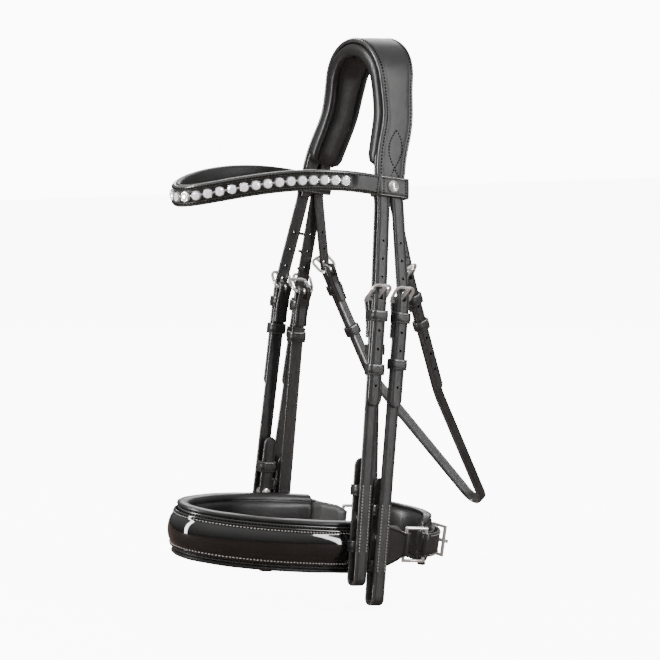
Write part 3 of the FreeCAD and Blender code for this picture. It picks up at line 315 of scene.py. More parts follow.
class Frame:
    """A local frame: columns are its axes in the row frame, origin in millimetres."""

    def __init__(self, origin, x, y, z):
        self.origin = np.array(origin, float)
        self.axes = np.stack([x, y, z], 1).astype(float)

    def points(self, values):
        return np.array(values, float) @ self.axes.T + self.origin

    def point(self, x, y, z):
        return self.points([(x, y, z)])[0]

    def vectors(self, values):
        return np.array(values, float) @ self.axes.T

    def turned(self, matrix):
        axes = self.axes @ matrix
        return Frame(self.origin, axes[:, 0], axes[:, 1], axes[:, 2])

    def moved(self, offset):
        return Frame(self.points([offset])[0], *self.axes.T)


ROW = Frame((0, 0, 0), (1, 0, 0), (0, 1, 0), (0, 0, 1))


def turn(axis, degrees):
    return np.array(Matrix.Rotation(math.radians(degrees), 3, axis))


class Track:
    """A path with a side direction at each point; the outer face looks along tangent x side."""

    def __init__(self, points, side, local=ROW, closed=False):
        self.points = local.points(points)
        count = len(self.points)
        side = local.vectors(np.broadcast_to(np.array(side, float), (count, 3)))
        if closed:
            ahead, behind = np.roll(self.points, -1, 0), np.roll(self.points, 1, 0)
            self.tangent = unit(ahead - behind)
        else:
            self.tangent = unit(np.gradient(self.points, axis=0))
        side = side - (side * self.tangent).sum(1, keepdims=True) * self.tangent
        self.side = unit(side)
        self.normal = np.cross(self.tangent, self.side)
        self.closed = closed
        loop = self.points if not closed else np.vstack([self.points, self.points[:1]])
        self.length = np.r_[0, np.cumsum(np.linalg.norm(np.diff(loop, axis=0), axis=1))]

    def from_ends(self):
        """The distance of each point from the nearer end."""
        return np.minimum(self.length, self.length[-1] - self.length)

    def at(self, place):
        """Point, tangent, side and normal at a distance along the path."""
        grids = (self.points, self.tangent, self.side, self.normal)
        if self.closed:
            grids = tuple(np.vstack([g, g[:1]]) for g in grids)
        return [np.array([np.interp(place, self.length, g[:, k]) for k in range(3)]) for g in grids]


def corner(centre_a, centre_b, radius, start, steps=4):
    angles = np.radians(np.linspace(start, start + 90, steps + 1))
    return [(centre_a + radius * math.cos(t), centre_b + radius * math.sin(t)) for t in angles]


def edged_section(half, thickness, face, base=(0,), steps=3, edge=1):
    """An outline with round edges; the face is given from its right end to its middle."""
    radius, level = min(0.46 * thickness, 0.85 * half), thickness / 2
    flat = half - radius
    rise = level - radius
    right = corner(flat, -rise, radius, -90, steps) + corner(flat, rise, radius, 0, steps)
    left = corner(-flat, rise, radius, 90, steps) + corner(-flat, -rise, radius, 180, steps)
    face = face + mirrored(face[:-1])
    points = right + face + left + [(share * flat, -level) for share in base]
    tags = [edge] * len(right) + [0] * len(face) + [edge] * len(left) + [0] * len(base)
    return np.array(points), tags


def mirrored(points):
    """The same points on the other side, in the order that carries an outline on."""
    return [(-a, b) for a, b in reversed(points)]


def strap_section(half, thickness):
    """A strap across its width: rounded painted edges and a creased line inside each."""
    level, wide = thickness / 2, 0.34
    flat = half - min(0.46 * thickness, 0.85 * half)
    right = half - min(1.9, 0.5 * half)
    face = [(min(flat, right + wide), level), (right, level - 0.24), (right - wide, level + 0.03),
            (0.5 * right, level + 0.08), (0, level + 0.1)]
    return edged_section(half, thickness, face, (-0.5, 0, 0.5), 4)


def smooth_loop(keys, count=64):
    """A closed smooth curve through key points, evenly sampled."""
    keys = np.array(keys, float)
    samples = []
    for index in range(len(keys)):
        p0, p1, p2, p3 = (keys[(index + k) % len(keys)] for k in (-1, 0, 1, 2))
        for t in np.linspace(0, 1, 8, endpoint=False):
            samples.append(0.5 * (2 * p1 + (p2 - p0) * t + (2 * p0 - 5 * p1 + 4 * p2 - p3) * t * t
                                  + (3 * p1 - p0 - 3 * p2 + p3) * t ** 3))
    closed = np.array(samples + samples[:1])
    return resample(closed, np.linalg.norm(np.diff(closed, axis=0), axis=1).sum() / count)[:-1]


def pad_section(half, thickness):
    """The headpiece's pad, outer face up: a fat roll along each edge, a seam, a soft panel."""
    level, scale = thickness / 2, thickness / PAD_THICKNESS
    edge = [(9.0, level), (7.5, level + 1.3 * scale), (5.4, level + 3.2 * scale), (2.0, level + 3.0 * scale),
            (0.0, level - 0.8 * scale), (0.3, 1.4 * scale - level), (2.8, -0.3 * scale - level),
            (5.2, 0.6 * scale - level), (6.4, 2.3 * scale - level), (7.8, 0.3 * scale - level),
            (11.5, -0.9 * scale - level)]
    return rolled_loop(half, edge, level, -level - 1.5 * scale)


def rolled_loop(half, edge, top, bottom):
    """A closed outline from key points given by their depth inside the half width."""
    right = [(half - depth, height) for depth, height in edge]
    keys = [(0, top)] + mirrored(right[::-1]) + [(0, bottom)] + right[::-1]
    loop = smooth_loop(keys, 88)
    return loop, [0] * len(loop)


# ------------------------------------------------------------------ building meshes


# a stitch as (place along its length, lift, thickness), in shares of its length and radius
STITCH = ((-0.5, -0.8, 0.45), (-0.3, 0.25, 0.9), (0.0, 0.55, 1.0), (0.3, 0.25, 0.9), (0.5, -0.8, 0.45))


def tube(rings, size, closed=False):
    """The faces around a row of rings; both ends are closed unless the row is a loop."""
    faces = []
    for i in range(rings if closed else rings - 1):
        j = (i + 1) % rings
        for k in range(size):
            n = (k + 1) % size
            faces.append((i * size + k, i * size + n, j * size + n, j * size + k))
    if not closed:
        last = (rings - 1) * size
        faces += [tuple(range(size))[::-1], tuple(range(last, last + size))]
    return faces


class Shape:
    """Collects swept and turned forms, then becomes one object."""

    def __init__(self):
        self.vertices, self.faces, self.tags = [], [], []
        self.count = 0

    def add(self, vertices, faces, tags):
        self.vertices.append(np.array(vertices, float))
        self.faces.extend(tuple(i + self.count for i in face) for face in faces)
        self.tags.extend(tags)
        self.count += len(vertices)

    def sweep(self, track, half, thickness, section=strap_section, blunt=0.7):
        """A section carried along a track; half and thickness may differ from point to point."""
        count = len(track.points)
        halves = np.broadcast_to(np.array(half, float), (count,))
        depths = np.broadcast_to(np.array(thickness, float), (count,))
        outlines = [section(*size) for size in zip(halves, depths)]
        tags = outlines[-1][1]
        rings = list(zip(track.points, track.side, track.normal, (outline for outline, _ in outlines)))
        if not track.closed:
            rings = self.capped(rings, track, blunt)
        self.skin(rings, tags, track.closed, 1 if 1 in tags else 0)

    def skin(self, rings, tags, closed, end_tag):
        """Faces over rings of (place, side, normal, outline), with a tag for each point around."""
        vertices = [place + a * side + b * normal
                    for place, side, normal, outline in rings for a, b in outline]
        spans = len(rings) if closed else len(rings) - 1
        face_tags = list(tags) * spans + [end_tag] * (0 if closed else 2)
        self.add(vertices, tube(len(rings), len(tags), closed), face_tags)

    @staticmethod
    def capped(rings, track, blunt):
        """Each open end gets a smaller last ring, which rounds its corner."""
        first, last = rings[0], rings[-1]

        def small(ring, shift):
            place, side, normal, outline = ring
            size = np.abs(outline).max(0) + 1e-9
            scale = np.maximum(0.2, (size - blunt) / size)
            return place + shift, side, normal, outline * scale

        start = small(first, np.zeros(3))
        stop = small(last, np.zeros(3))
        rings[0] = (first[0] + blunt * track.tangent[0], *first[1:])
        rings[-1] = (last[0] - blunt * track.tangent[-1], *last[1:])
        return [start] + rings + [stop]

    def lathe(self, local, profile, tag=0, steps=24):
        """A profile of (height, radius) turned about the local x axis."""
        vertices = []
        for height, radius in profile:
            for angle in np.arange(steps) * (2 * math.pi / steps):
                vertices.append((height, radius * math.cos(angle), radius * math.sin(angle)))
        faces = tube(len(profile), steps)
        self.add(local.points(vertices), faces, [tag] * len(faces))

    def stitch(self, place, along, out, length, radius, tag):
        """One thread stitch: a short bowed bead that dips into the leather at both ends."""
        across = np.cross(along, out)
        vertices, steps = [], 6
        for shift, lift, size in STITCH:
            for angle in np.arange(steps) * (2 * math.pi / steps):
                offset = radius * size * (math.cos(angle) * across + math.sin(angle) * out)
                vertices.append(place + shift * length * along + lift * radius * out + offset)
        faces = tube(len(STITCH), steps)
        self.add(vertices, faces, [tag] * len(faces))

    def stitch_row(self, track, across, lift, start, stop, pitch=2.6, radius=0.34, tag=2, slant=8):
        """Stitches along a track at a distance across its face; each leans a little."""
        lean = math.radians(slant)
        for place in np.arange(start, stop, pitch):
            point, along, side, normal = track.at(place)
            direction = unit(along * math.cos(lean) + side * math.sin(lean))
            self.stitch(point + across * side + lift * normal, direction, normal, 0.74 * pitch, radius, tag)

    def build(self, name, materials, body, replaces=(), slot="leather_black", sharp=38):
        mesh = bpy.data.meshes.new(name)
        vertices = np.vstack(self.vertices) * MM
        mesh.from_pydata(vertices.tolist(), [], self.faces)
        for material in materials:
            mesh.materials.append(material)
        mesh.polygons.foreach_set("material_index", self.tags)
        mesh.validate()
        mesh.shade_smooth()
        mesh.set_sharp_from_angle(angle=math.radians(sharp))
        item = bpy.data.objects.new(name, mesh)
        bpy.context.scene.collection.objects.link(item)
        if body:
            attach(item, body)
        if replaces:
            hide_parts(*replaces)
        return item

    def stand_for(self, node, materials, body, slot="leather_black", sharp=38):
        """Builds the shape in the place of a CAD node."""
        return self.build(node + "_visual", materials, body, (node,), slot, sharp)


def baked(item):
    """The object's mesh with its modifiers applied."""
    depsgraph = bpy.context.evaluated_depsgraph_get()
    mesh = bpy.data.meshes.new_from_object(item.evaluated_get(depsgraph))
    item.modifiers.clear()
    old = item.data
    item.data = mesh
    bpy.data.meshes.remove(old)
    return item


def punch(item, cutters):
    """Cuts the union of closed cutter forms out of an object."""
    tool = cutters.build(item.name + "_tool", (HOLE,), None)
    cut = item.modifiers.new("punch", "BOOLEAN")
    cut.operation = "DIFFERENCE"
    cut.solver = "EXACT"
    cut.object = tool
    bpy.context.view_layer.update()
    baked(item)
    bpy.data.objects.remove(tool)
    item.data.set_sharp_from_angle(angle=math.radians(38))
    return item


def hole_cutter(shape, place, direction, radius, reach=4.0):
    """A round punch through a strap at a place, along a direction."""
    x = unit(np.array(direction, float))
    y = unit(np.cross(x, UP + 0.3 * x + np.array((0.01, 0.02, 0))))
    shape.lathe(Frame(place, x, y, np.cross(x, y)), ((-reach, radius), (reach, radius)), steps=14)


def block_cutter(shape, local, low, high):
    (x0, y0, z0), (x1, y1, z1) = low, high
    corners = [(x, y, z) for x in (x0, x1) for y in (y0, y1) for z in (z0, z1)]
    faces = [(0, 1, 3, 2), (4, 6, 7, 5), (0, 4, 5, 1), (2, 3, 7, 6), (0, 2, 6, 4), (1, 5, 7, 3)]
    shape.add(local.points(corners), faces, [0] * 6)


def rounded_loop(x0, x1, y0, y1, radius, z=0.0):
    """A rounded rectangle, counter-clockwise seen from +z."""
    points = []
    for cx, cy, start in ((x1 - radius, y0 + radius, -90), (x1 - radius, y1 - radius, 0),
                          (x0 + radius, y1 - radius, 90), (x0 + radius, y0 + radius, 180)):
        for a in np.radians(np.linspace(start, start + 90, 6)):
            points.append((cx + radius * math.cos(a), cy + radius * math.sin(a), z))
    closed = np.array(points + points[:1])
    return resample(closed, 1.6)[:-1]


# ------------------------------------------------------------------ headpiece


def s_curve(z, high, low):
    """Edge position between two stations: two arcs that leave and arrive along the strap."""
    (z0, y0), (z1, y1) = high, low
    t = min(1.0, max(0.0, (z0 - z) / (z0 - z1)))
    share = 2 * t * t if t < 0.5 else 1 - 2 * (1 - t) ** 2
    return y0 + (y1 - y0) * share


def edge_at(z, stations, column):
    for high, low in zip(stations, stations[1:]):
        if z >= low[0]:
            return s_curve(z, (high[0], high[column]), (low[0], low[column]))
    return stations[-1][column]


def arch_path(radius, foot, step=2.5):
    """The middle line of a headpiece layer, from the right foot over the poll to the left."""
    tangent_x, tangent_z = radius * math.cos(SPLAY), radius * math.sin(SPLAY) - CROWN_RADIUS
    foot_x = tangent_x + (tangent_z - foot) * math.tan(SPLAY)
    angles = np.linspace(math.pi - SPLAY, SPLAY, 60)
    arc = [(radius * math.cos(a), 0, radius * math.sin(a) - CROWN_RADIUS) for a in angles]
    return resample([(-foot_x, 0, foot)] + arc + [(foot_x, 0, foot)], step)


def arch_track(radius, foot, stations, margin=0.0, step=2.5):
    """A headpiece layer's track and half widths, between its front and rear edges."""
    path = arch_path(radius, foot, step)
    edges = [(edge_at(z, stations, 1), edge_at(z, stations, 2)) for z in path[:, 2]]
    front, rear = soften(edges, 7).T + np.array([[-margin], [margin]])
    tuck = 1.3 * np.clip((-102 - path[:, 2]) / 8, 0, 1)
    front, rear = front + tuck, rear - tuck
    path[:, 1] = (front + rear) / 2
    return Track(path, (0, 1, 0)), (rear - front) / 2


def strap_edges(centres, half):
    return [(z, c - half, c + half) for (z, _, _), c in zip(LEATHER_EDGES, centres)]


def leaf_stitching(shape, side):
    """The leaf sewn on each side of the headpiece, whose ends cross above the browband."""
    normal_x, normal_z = math.cos(SPLAY), math.sin(SPLAY)
    lift = CROWN_THICKNESS / 2 + 0.6

    def place(y, z):
        x = (LEATHER_LAYER * math.cos(SPLAY)
             + (LEATHER_LAYER * math.sin(SPLAY) - CROWN_RADIUS - z) * math.tan(SPLAY))
        return (side * (x + lift * normal_x), y, z + lift * normal_z)

    top, wide, cross, end = -66.0, -82.0, -99.0, -108.0
    widest, middle, lean = 7.2, 9.5, 0.20
    for hand in (1, -1):
        curve = []
        for t in np.linspace(0, 1, 30):
            z = top + (end - top) * t
            drift = lean * (z - top)
            if z > wide:
                reach = widest * math.sin(math.pi / 2 * (top - z) / (top - wide)) ** 0.8
            else:
                reach = widest * math.cos(math.pi / 2 * (wide - z) / (wide - cross))
            curve.append(place(middle + drift + hand * reach, z))
        track = Track(resample(curve, 2.0), (side * normal_z, 0.0, -normal_x))
        out = np.array((side * normal_x, 0.0, normal_z))
        for place_along in np.arange(0.6, track.length[-1], 2.8):
            point, along, _, _ = track.at(place_along)
            shape.stitch(point, along, out, 1.9, 0.55, 2)


def build_crown_leather():
    track, half = arch_track(LEATHER_LAYER, CROWN_FOOT, LEATHER_EDGES)
    shape = Shape()
    shape.sweep(track, half, CROWN_THICKNESS, crown_section)
    length = track.length[-1]
    lift = CROWN_THICKNESS / 2 + 0.1
    for hand, inset in ((-1, 3.4), (1, 3.2)):
        edge_stitches(shape, track, half, hand, inset, lift, 3, length - 3)
    for side in SIDES.values():
        leaf_stitching(shape, side)
    shape.stand_for("crown_leather", LEATHERS, "headpiece")


def edge_stitches(shape, track, half, hand, inset, lift, start, stop, pitch=2.9):
    """Stitches that follow an edge of a piece whose width changes along its track."""
    for place in np.arange(start, stop, pitch):
        point, along, side, normal = track.at(place)
        reach = np.interp(place, track.length, half) - inset
        shape.stitch(point + hand * reach * side + lift * normal, along, normal, 0.66 * pitch, 0.55, 2)


def crown_section(half, thickness):
    """The headpiece leather: raised over its padding between creased borders."""
    level, inner = thickness / 2, half - 4.6
    face = [(half - 2.2, level), (half - 3.0, level - 0.2), (half - 3.8, level), (inner, level - 0.25),
            (inner - 1.2, level + 0.15), (inner - 3.5, level + 0.35), (0.3 * half, level + 0.45),
            (0, level + 0.5)]
    return edged_section(half, thickness, face, (-0.5, 0, 0.5), 4)


def build_crown_padding():
    track, half = arch_track(PAD_LAYER, PAD_FOOT, LEATHER_EDGES, 1.5, 3.0)
    taper = np.clip(track.from_ends() / 9, 0, 1)
    half = half * (0.72 + 0.28 * np.sqrt(taper))
    depth = PAD_THICKNESS * (0.45 + 0.55 * np.sqrt(taper))
    shape = Shape()
    shape.sweep(track, half, depth, pad_section, blunt=1.6)
    item = shape.stand_for("crown_padding", (SOFT,), "headpiece", "padding_black")
    ripple(item, 0.25, 60)


def ripple(item, depth, scale, seed=3.0):
    """Moves each vertex a little along its normal, as soft leather puckers."""
    mesh = item.data
    normals = [v.normal.copy() for v in mesh.vertices]
    for vertex, normal in zip(mesh.vertices, normals):
        amount = noise.noise(vertex.co * scale + Vector((seed, seed, seed)))
        vertex.co += normal * amount * depth * MM
    mesh.update()


def build_poll_straps():
    """The noseband's and the throatlatch's straps between the pad and the leather."""
    track, half = arch_track(STRAP_LAYER, HINGE_Z + 1, strap_edges((12, 8, -8.5, -11.5), 6.4))
    shape = Shape()
    shape.sweep(track, half, STRAP_THICKNESS)
    for side_name in SIDES:
        add_billet(shape, SETS["hanger"], side_name)
    item = shape.stand_for("noseband_poll_strap", LEATHERS, "headpiece")
    cutters = Shape()
    for side_name in SIDES:
        billet_cuts(cutters, SETS["hanger"], side_name)
    punch(item, cutters)
    track, half = arch_track(STRAP_LAYER, -123, strap_edges((30, 22, 6, 3), 4.9))
    shape = Shape()
    shape.sweep(track, half, STRAP_THICKNESS)
    shape.stand_for("throatlatch_poll_strap", LEATHERS, "headpiece")


# ------------------------------------------------------------------ buckled straps


class StrapSet:
    """One kind of buckled strap and the joints that hold its buckle and its billet."""

    def __init__(self, label, tongue, runner, body, width, layer, hinge_y, length, tip, slant, room,
                 above, below):
        self.label = label
        self.tongue, self.runner, self.body = tongue, runner, body
        self.width, self.layer, self.hinge_y = width, layer, hinge_y
        self.length, self.tip = length, tip
        self.slant, self.room = slant, room
        self.holes_above, self.holes_below = above, below

    def bar(self, side_name):
        """The bar frame, from the joints of the tongue and the runner."""
        tongue = JOINTS[self.tongue.format(side_name) + "_turn"]
        runner = JOINTS[self.runner.format(side_name) + "_slide"]
        y, z = (unit(np.array(joint["axis"], float)) for joint in (tongue, runner))
        return Frame(np.array(tongue["pos_m"]) / MM, np.cross(y, z), y, z)

    def hinge(self, side):
        """Where the billet leaves the headpiece."""
        radius = self.layer
        x = radius * math.cos(SPLAY) + (radius * math.sin(SPLAY) - CROWN_RADIUS - HINGE_Z) * math.tan(SPLAY)
        return np.array((side * x, self.hinge_y, HINGE_Z))

    def runner_drop(self, side_name):
        """How far below the bar the runner stands, from its CAD node."""
        low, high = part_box(f"{self.label}_runner_{side_name}")
        middle = (np.array(low) + np.array(high)) / 2 / MM
        local = self.bar(side_name)
        return float((middle - local.origin) @ local.axes[:, 2])


SETS = {
    "front": StrapSet("front_cheek", "front_cheek_{}_tongue", "front_cheek_{}_runner", "front_cheek_{}",
                      STRAP_WIDTH, LEATHER_LAYER, -11.5, 251.2, 93.0, 37, 1.5, 3, 5),
    "rear": StrapSet("rear_cheek", "rear_cheek_{}_tongue", "rear_cheek_{}_runner", "rear_cheek_{}",
                     STRAP_WIDTH, LEATHER_LAYER, 3.5, 267.4, 93.0, 37, 1.5, 3, 5),
    "hanger": StrapSet("hanger", "hanger_tongue_{}", "hanger_runner_{}", "headpiece",
                       STRAP_WIDTH, STRAP_LAYER, -12.0, 218.0, 93.0, 52, 1.5, 3, 5),
    "throat": StrapSet("throatlatch", "throatlatch_tongue_{}", "throatlatch_runner_{}", "throatlatch",
                       THROAT_WIDTH, STRAP_LAYER, 3.0, 116.0, 113.0, 37, 2.3, 2, 6),
}


def lay(points, step=3.0, fine_start=False, fine_end=False):
    """A polyline with extra points: none further apart than step, and close ones near an end."""
    points = np.array(points, float)
    lengths = np.r_[0, np.cumsum(np.linalg.norm(np.diff(points, axis=0), axis=1))]
    total = lengths[-1]
    fine = np.array((0.25, 0.7, 1.3, 2.1, 3.1, 4.3, 5.7, 7.2))
    places = [lengths, np.linspace(0, total, max(2, int(total / step) + 1))]
    if fine_start:
        places.append(fine)
    if fine_end:
        places.append(total - fine)
    places = np.sort(np.concatenate(places))
    kept = [0.0]
    for place in places[1:]:
        if place - kept[-1] > 0.2:
            kept.append(place)
    kept[-1] = total
    return np.stack([np.interp(kept, lengths, points[:, k]) for k in range(3)], 1)


def rounded(track, half, at_start=False, at_end=False, tip=None, floor=0.16):
    """Half widths that round off the ends of a strap."""
    tip = tip or 1.15 * half
    widths = np.full(len(track.points), float(half))
    for wanted, distance in ((at_start, track.length), (at_end, track.length[-1] - track.length)):
        if wanted:
            t = np.clip(distance / tip, 0, 1)
            widths = np.minimum(widths, half * np.maximum(floor, np.sqrt(1 - (1 - t) ** 2)))
    return widths


def billet_points(straps, side_name, start_above=True):
    """The billet's middle line in the row frame, from the headpiece down to its tip."""
    side = SIDES[side_name]
    local = straps.bar(side_name)
    hinge = straps.hinge(side)
    bend = local.point(BILLET_X, 0, 1)
    tip = local.point(BILLET_X, 0, -straps.tip)
    points = [hinge]
    if start_above:
        rise = 11.0
        points = [hinge + rise * np.array((-side * math.tan(SPLAY), 0, 1.0))] + points
    points = lay(points + [bend, tip], 4.0)
    points = soften(resample(points, 2.0), 2)
    return lay(points, 2.5, fine_end=True)


def billet_track(straps, side_name):
    local = straps.bar(side_name)
    return Track(billet_points(straps, side_name), local.axes[:, 1])


def billet_cuts(cutters, straps, side_name):
    """Punches the holes of a billet and the slot its tongue passes through."""
    side = SIDES[side_name]
    local = straps.bar(side_name)
    bend = local.point(BILLET_X, 0, 1)
    up = unit(straps.hinge(side) - bend)
    out = unit(np.cross(local.axes[:, 1], up))
    for k in range(1, straps.holes_below + 1):
        place = local.point(BILLET_X, 0, 5 - HOLE_PITCH * k)
        hole_cutter(cutters, place, local.axes[:, 0], HOLE_RADIUS)
    for k in range(1, straps.holes_above + 1):
        hole_cutter(cutters, bend + up * (4 + HOLE_PITCH * k - 1), out, HOLE_RADIUS)
    block_cutter(cutters, local, (BILLET_X - 4.2, -2, 0.3), (BILLET_X + 4.2, 2, 8.6))


def chape_points(end_z):
    """A strap folded over its bar: up behind, over the top and down in front."""
    behind = [(BACK_LEG, 0, -CHAPE_END), (BACK_LEG, 0, -14), (-1.6, 0, -8), (-2.9, 0, -3)]
    over = arc_points((0, 0), FOLD_MIDDLE, 180, 0, 11)
    return behind + over + [(FOLD_MIDDLE, 0, -3), (FOLD_MIDDLE, 0, end_z)]


def cheek_track(straps, side_name):
    """The cheek strap: folded over its bar, down, round the bit loop and back up behind."""
    local = straps.bar(side_name)
    loop_z = 6.4 - straps.length
    centre_x = FOLD_MIDDLE - LOOP_MIDDLE
    loop = arc_points((centre_x, loop_z), LOOP_MIDDLE, 0, -180, 13)
    behind = centre_x - LOOP_MIDDLE
    points = chape_points(loop_z + 4) + loop
    points += [(behind, 0, loop_z + 4), (behind, 0, RETURN_LENGTH - straps.length)]
    return Track(lay(points, 4.0, True, True), (0, 1, 0), local)


def stack_loop(x0, x1, half, z):
    """The middle line of a keeper's wall around a stack of straps."""
    grow = 0.25 + KEEPER_WALL / 2
    return rounded_loop(x0 - grow, x1 + grow, -half - grow, half + grow, 1.7, z)


def keeper(shape, local, x0, x1, half, z):
    track = Track(stack_loop(x0, x1, half, z), (0, 0, 1), local, closed=True)
    shape.sweep(track, KEEPER_HEIGHT / 2, KEEPER_WALL, keeper_section)


def keeper_section(half, thickness):
    """A keeper across its height: rounded edges and two pressed lines."""
    level, line = thickness / 2, half - 2.0
    face = [(line + 0.3, level), (line, level - 0.3), (line - 0.35, level + 0.02), (0, level + 0.18)]
    return edged_section(half, thickness, face)


def add_billet(shape, straps, side_name):
    track = billet_track(straps, side_name)
    half = straps.width / 2
    shape.sweep(track, rounded(track, half, at_end=True), STRAP_THICKNESS)


def build_billet(straps, side_name, name, node):
    """A billet from the headpiece down to its own strap, shaped with a fixed turn at its buckle."""
    shape = Shape()
    add_billet(shape, straps, side_name)
    item = shape.build(name, LEATHERS, None, (node,))
    cutters = Shape()
    billet_cuts(cutters, straps, side_name)
    punch(item, cutters)
    hinge = straps.hinge(SIDES[side_name])
    bend = straps.bar(side_name).point(BILLET_X, 0, 1)
    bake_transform(item)


def chape_stitching(shape, straps, side_name):
    """Two rows of stitches that close the strap's fold below the fixed keeper."""
    local = straps.bar(side_name)
    front = Track([(FOLD_MIDDLE, 0, -8), (FOLD_MIDDLE, 0, -CHAPE_END)], (0, 1, 0), local)
    back = Track([(BACK_LEG, 0, -CHAPE_END + 1), (BACK_LEG, 0, -11)], (0, 1, 0), local)
    for track in (front, back):
        for hand in (-1, 1):
            across = hand * (straps.width / 2 - 2.3)
            shape.stitch_row(track, across, STRAP_THICKNESS / 2 + 0.12, 0.8, track.length[-1] - 0.5, 2.3)


def cheek_stitching(shape, straps, side_name):
    """Two light rows down the front where the keepers' flaps are sewn on behind."""
    local = straps.bar(side_name)
    high, low = 88 - straps.length, 31 - straps.length
    front = Track([(FOLD_MIDDLE, 0, high), (FOLD_MIDDLE, 0, low)], (0, 1, 0), local)
    for hand in (-1, 1):
        shape.stitch_row(front, hand * (straps.width / 2 - 2.6), STRAP_THICKNESS / 2 + 0.08, 0,
                         front.length[-1], 2.7, 0.5, tag=4)


def build_cheek(straps, side_name):
    body = straps.body.format(side_name)
    local = straps.bar(side_name)
    half = straps.width / 2
    track = cheek_track(straps, side_name)
    shape = Shape()
    shape.sweep(track, rounded(track, half, at_end=True), STRAP_THICKNESS + 0.2)
    item = shape.stand_for(f"{straps.label}_strap_{side_name}", LEATHERS, body)
    cutters = Shape()
    block_cutter(cutters, local, *BAR_SLOT)
    stud = local.point(FOLD_MIDDLE - 2 * LOOP_MIDDLE, 0, 60 - straps.length)
    hole_cutter(cutters, stud, local.axes[:, 0], 2.2, 3.0)
    punch(item, cutters)
    shape = Shape()
    chape_stitching(shape, straps, side_name)
    cheek_stitching(shape, straps, side_name)
    shape.build(f"{straps.label}_stitches_{side_name}", (*LEATHERS, LIGHT_THREAD), body)
    shape = Shape()
    keeper(shape, local, 1.0, 8.0, half, -KEEPER_DROP)
    behind = FOLD_MIDDLE - 2 * LOOP_MIDDLE
    for height in (84, 35):
        keeper(shape, local, behind - 1.6, -0.7, half, height - straps.length)
    shape.stand_for(f"{straps.label}_keepers_{side_name}", LEATHERS, body)
    build_runner(straps, side_name, f"{straps.label}_runner_{side_name}")
    build_billet(straps, side_name, f"{straps.label}_billet_{side_name}_visual",
                 f"{straps.label}_billet_{side_name}")


def wire_section(half, thickness):
    """A flat-sided wire with softened corners."""
    radius = 0.75
    a, b = half - radius, thickness / 2 - radius
    points = corner(a, -b, radius, -90, 2) + corner(a, b, radius, 0, 2)
    points += corner(-a, b, radius, 90, 2) + corner(-a, -b, radius, 180, 2)
    return np.array(points), [0] * len(points)


def add_buckle(shape, straps, side_name):
    """A buckle frame leaning out from its bar, its outer corners well rounded."""
    local = straps.bar(side_name)
    slant = math.radians(straps.slant)
    out = local.axes @ np.array((math.sin(slant), 0, math.cos(slant)))
    across = local.axes[:, 1]
    plane = Frame(local.origin, out, across, np.cross(out, across))
    half = straps.width / 2 + straps.room + BUCKLE_WIRE / 2
    far = BUCKLE_LENGTH - BUCKLE_WIRE / 2
    loop = rounded_loop(0, far, -half, half, 4.2)
    track = Track(loop, (0, 0, 1), plane, closed=True)
    shape.sweep(track, 1.2, 2.4, wire_section)
    rod = Frame(local.origin, across, local.axes[:, 2], np.cross(across, local.axes[:, 2]))
    shape.lathe(rod, ((0.6 - half, 1.38), (half - 0.6, 1.38)), steps=20)


def build_buckles():
    for kind in ("front", "rear"):
        for side_name in SIDES:
            straps = SETS[kind]
            shape = Shape()
            add_buckle(shape, straps, side_name)
            node = f"{straps.label}_buckle_{side_name}"
            shape.stand_for(node, (STEEL,), straps.body.format(side_name), "steel")
    for kind, body, node in (("hanger", "headpiece", "hanger_buckles"),
                             ("throat", "throatlatch", "throatlatch_buckles")):
        shape = Shape()
        for side_name in SIDES:
            add_buckle(shape, SETS[kind], side_name)
        shape.stand_for(node, (STEEL,), body, "steel")


def build_runner(straps, side_name, node):
    shape = Shape()
    keeper(shape, straps.bar(side_name), 1.5, 8.0, straps.width / 2, straps.runner_drop(side_name))
    shape.stand_for(node, LEATHERS, straps.runner.format(side_name))


def build_hangers():
    """The straps that carry the noseband, folded over their buckles."""
    straps = SETS["hanger"]
    leather_part, keepers, stitches, cutters = Shape(), Shape(), Shape(), Shape()
    for side_name in SIDES:
        local = straps.bar(side_name)
        track = Track(lay(chape_points(-straps.length), 5.0, True, True), (0, 1, 0), local)
        half = rounded(track, straps.width / 2, at_end=True)
        leather_part.sweep(track, half, STRAP_THICKNESS + 0.2)
        block_cutter(cutters, local, *BAR_SLOT)
        chape_stitching(stitches, straps, side_name)
        keeper(keepers, local, 1.0, 8.0, straps.width / 2, -KEEPER_DROP)
        build_runner(straps, side_name, f"hanger_runner_{side_name}")
    item = leather_part.stand_for("noseband_hangers", LEATHERS, "headpiece")
    punch(item, cutters)
    keepers.stand_for("hanger_keepers", LEATHERS, "headpiece")
    stitches.build("hanger_stitches", LEATHERS, "headpiece")


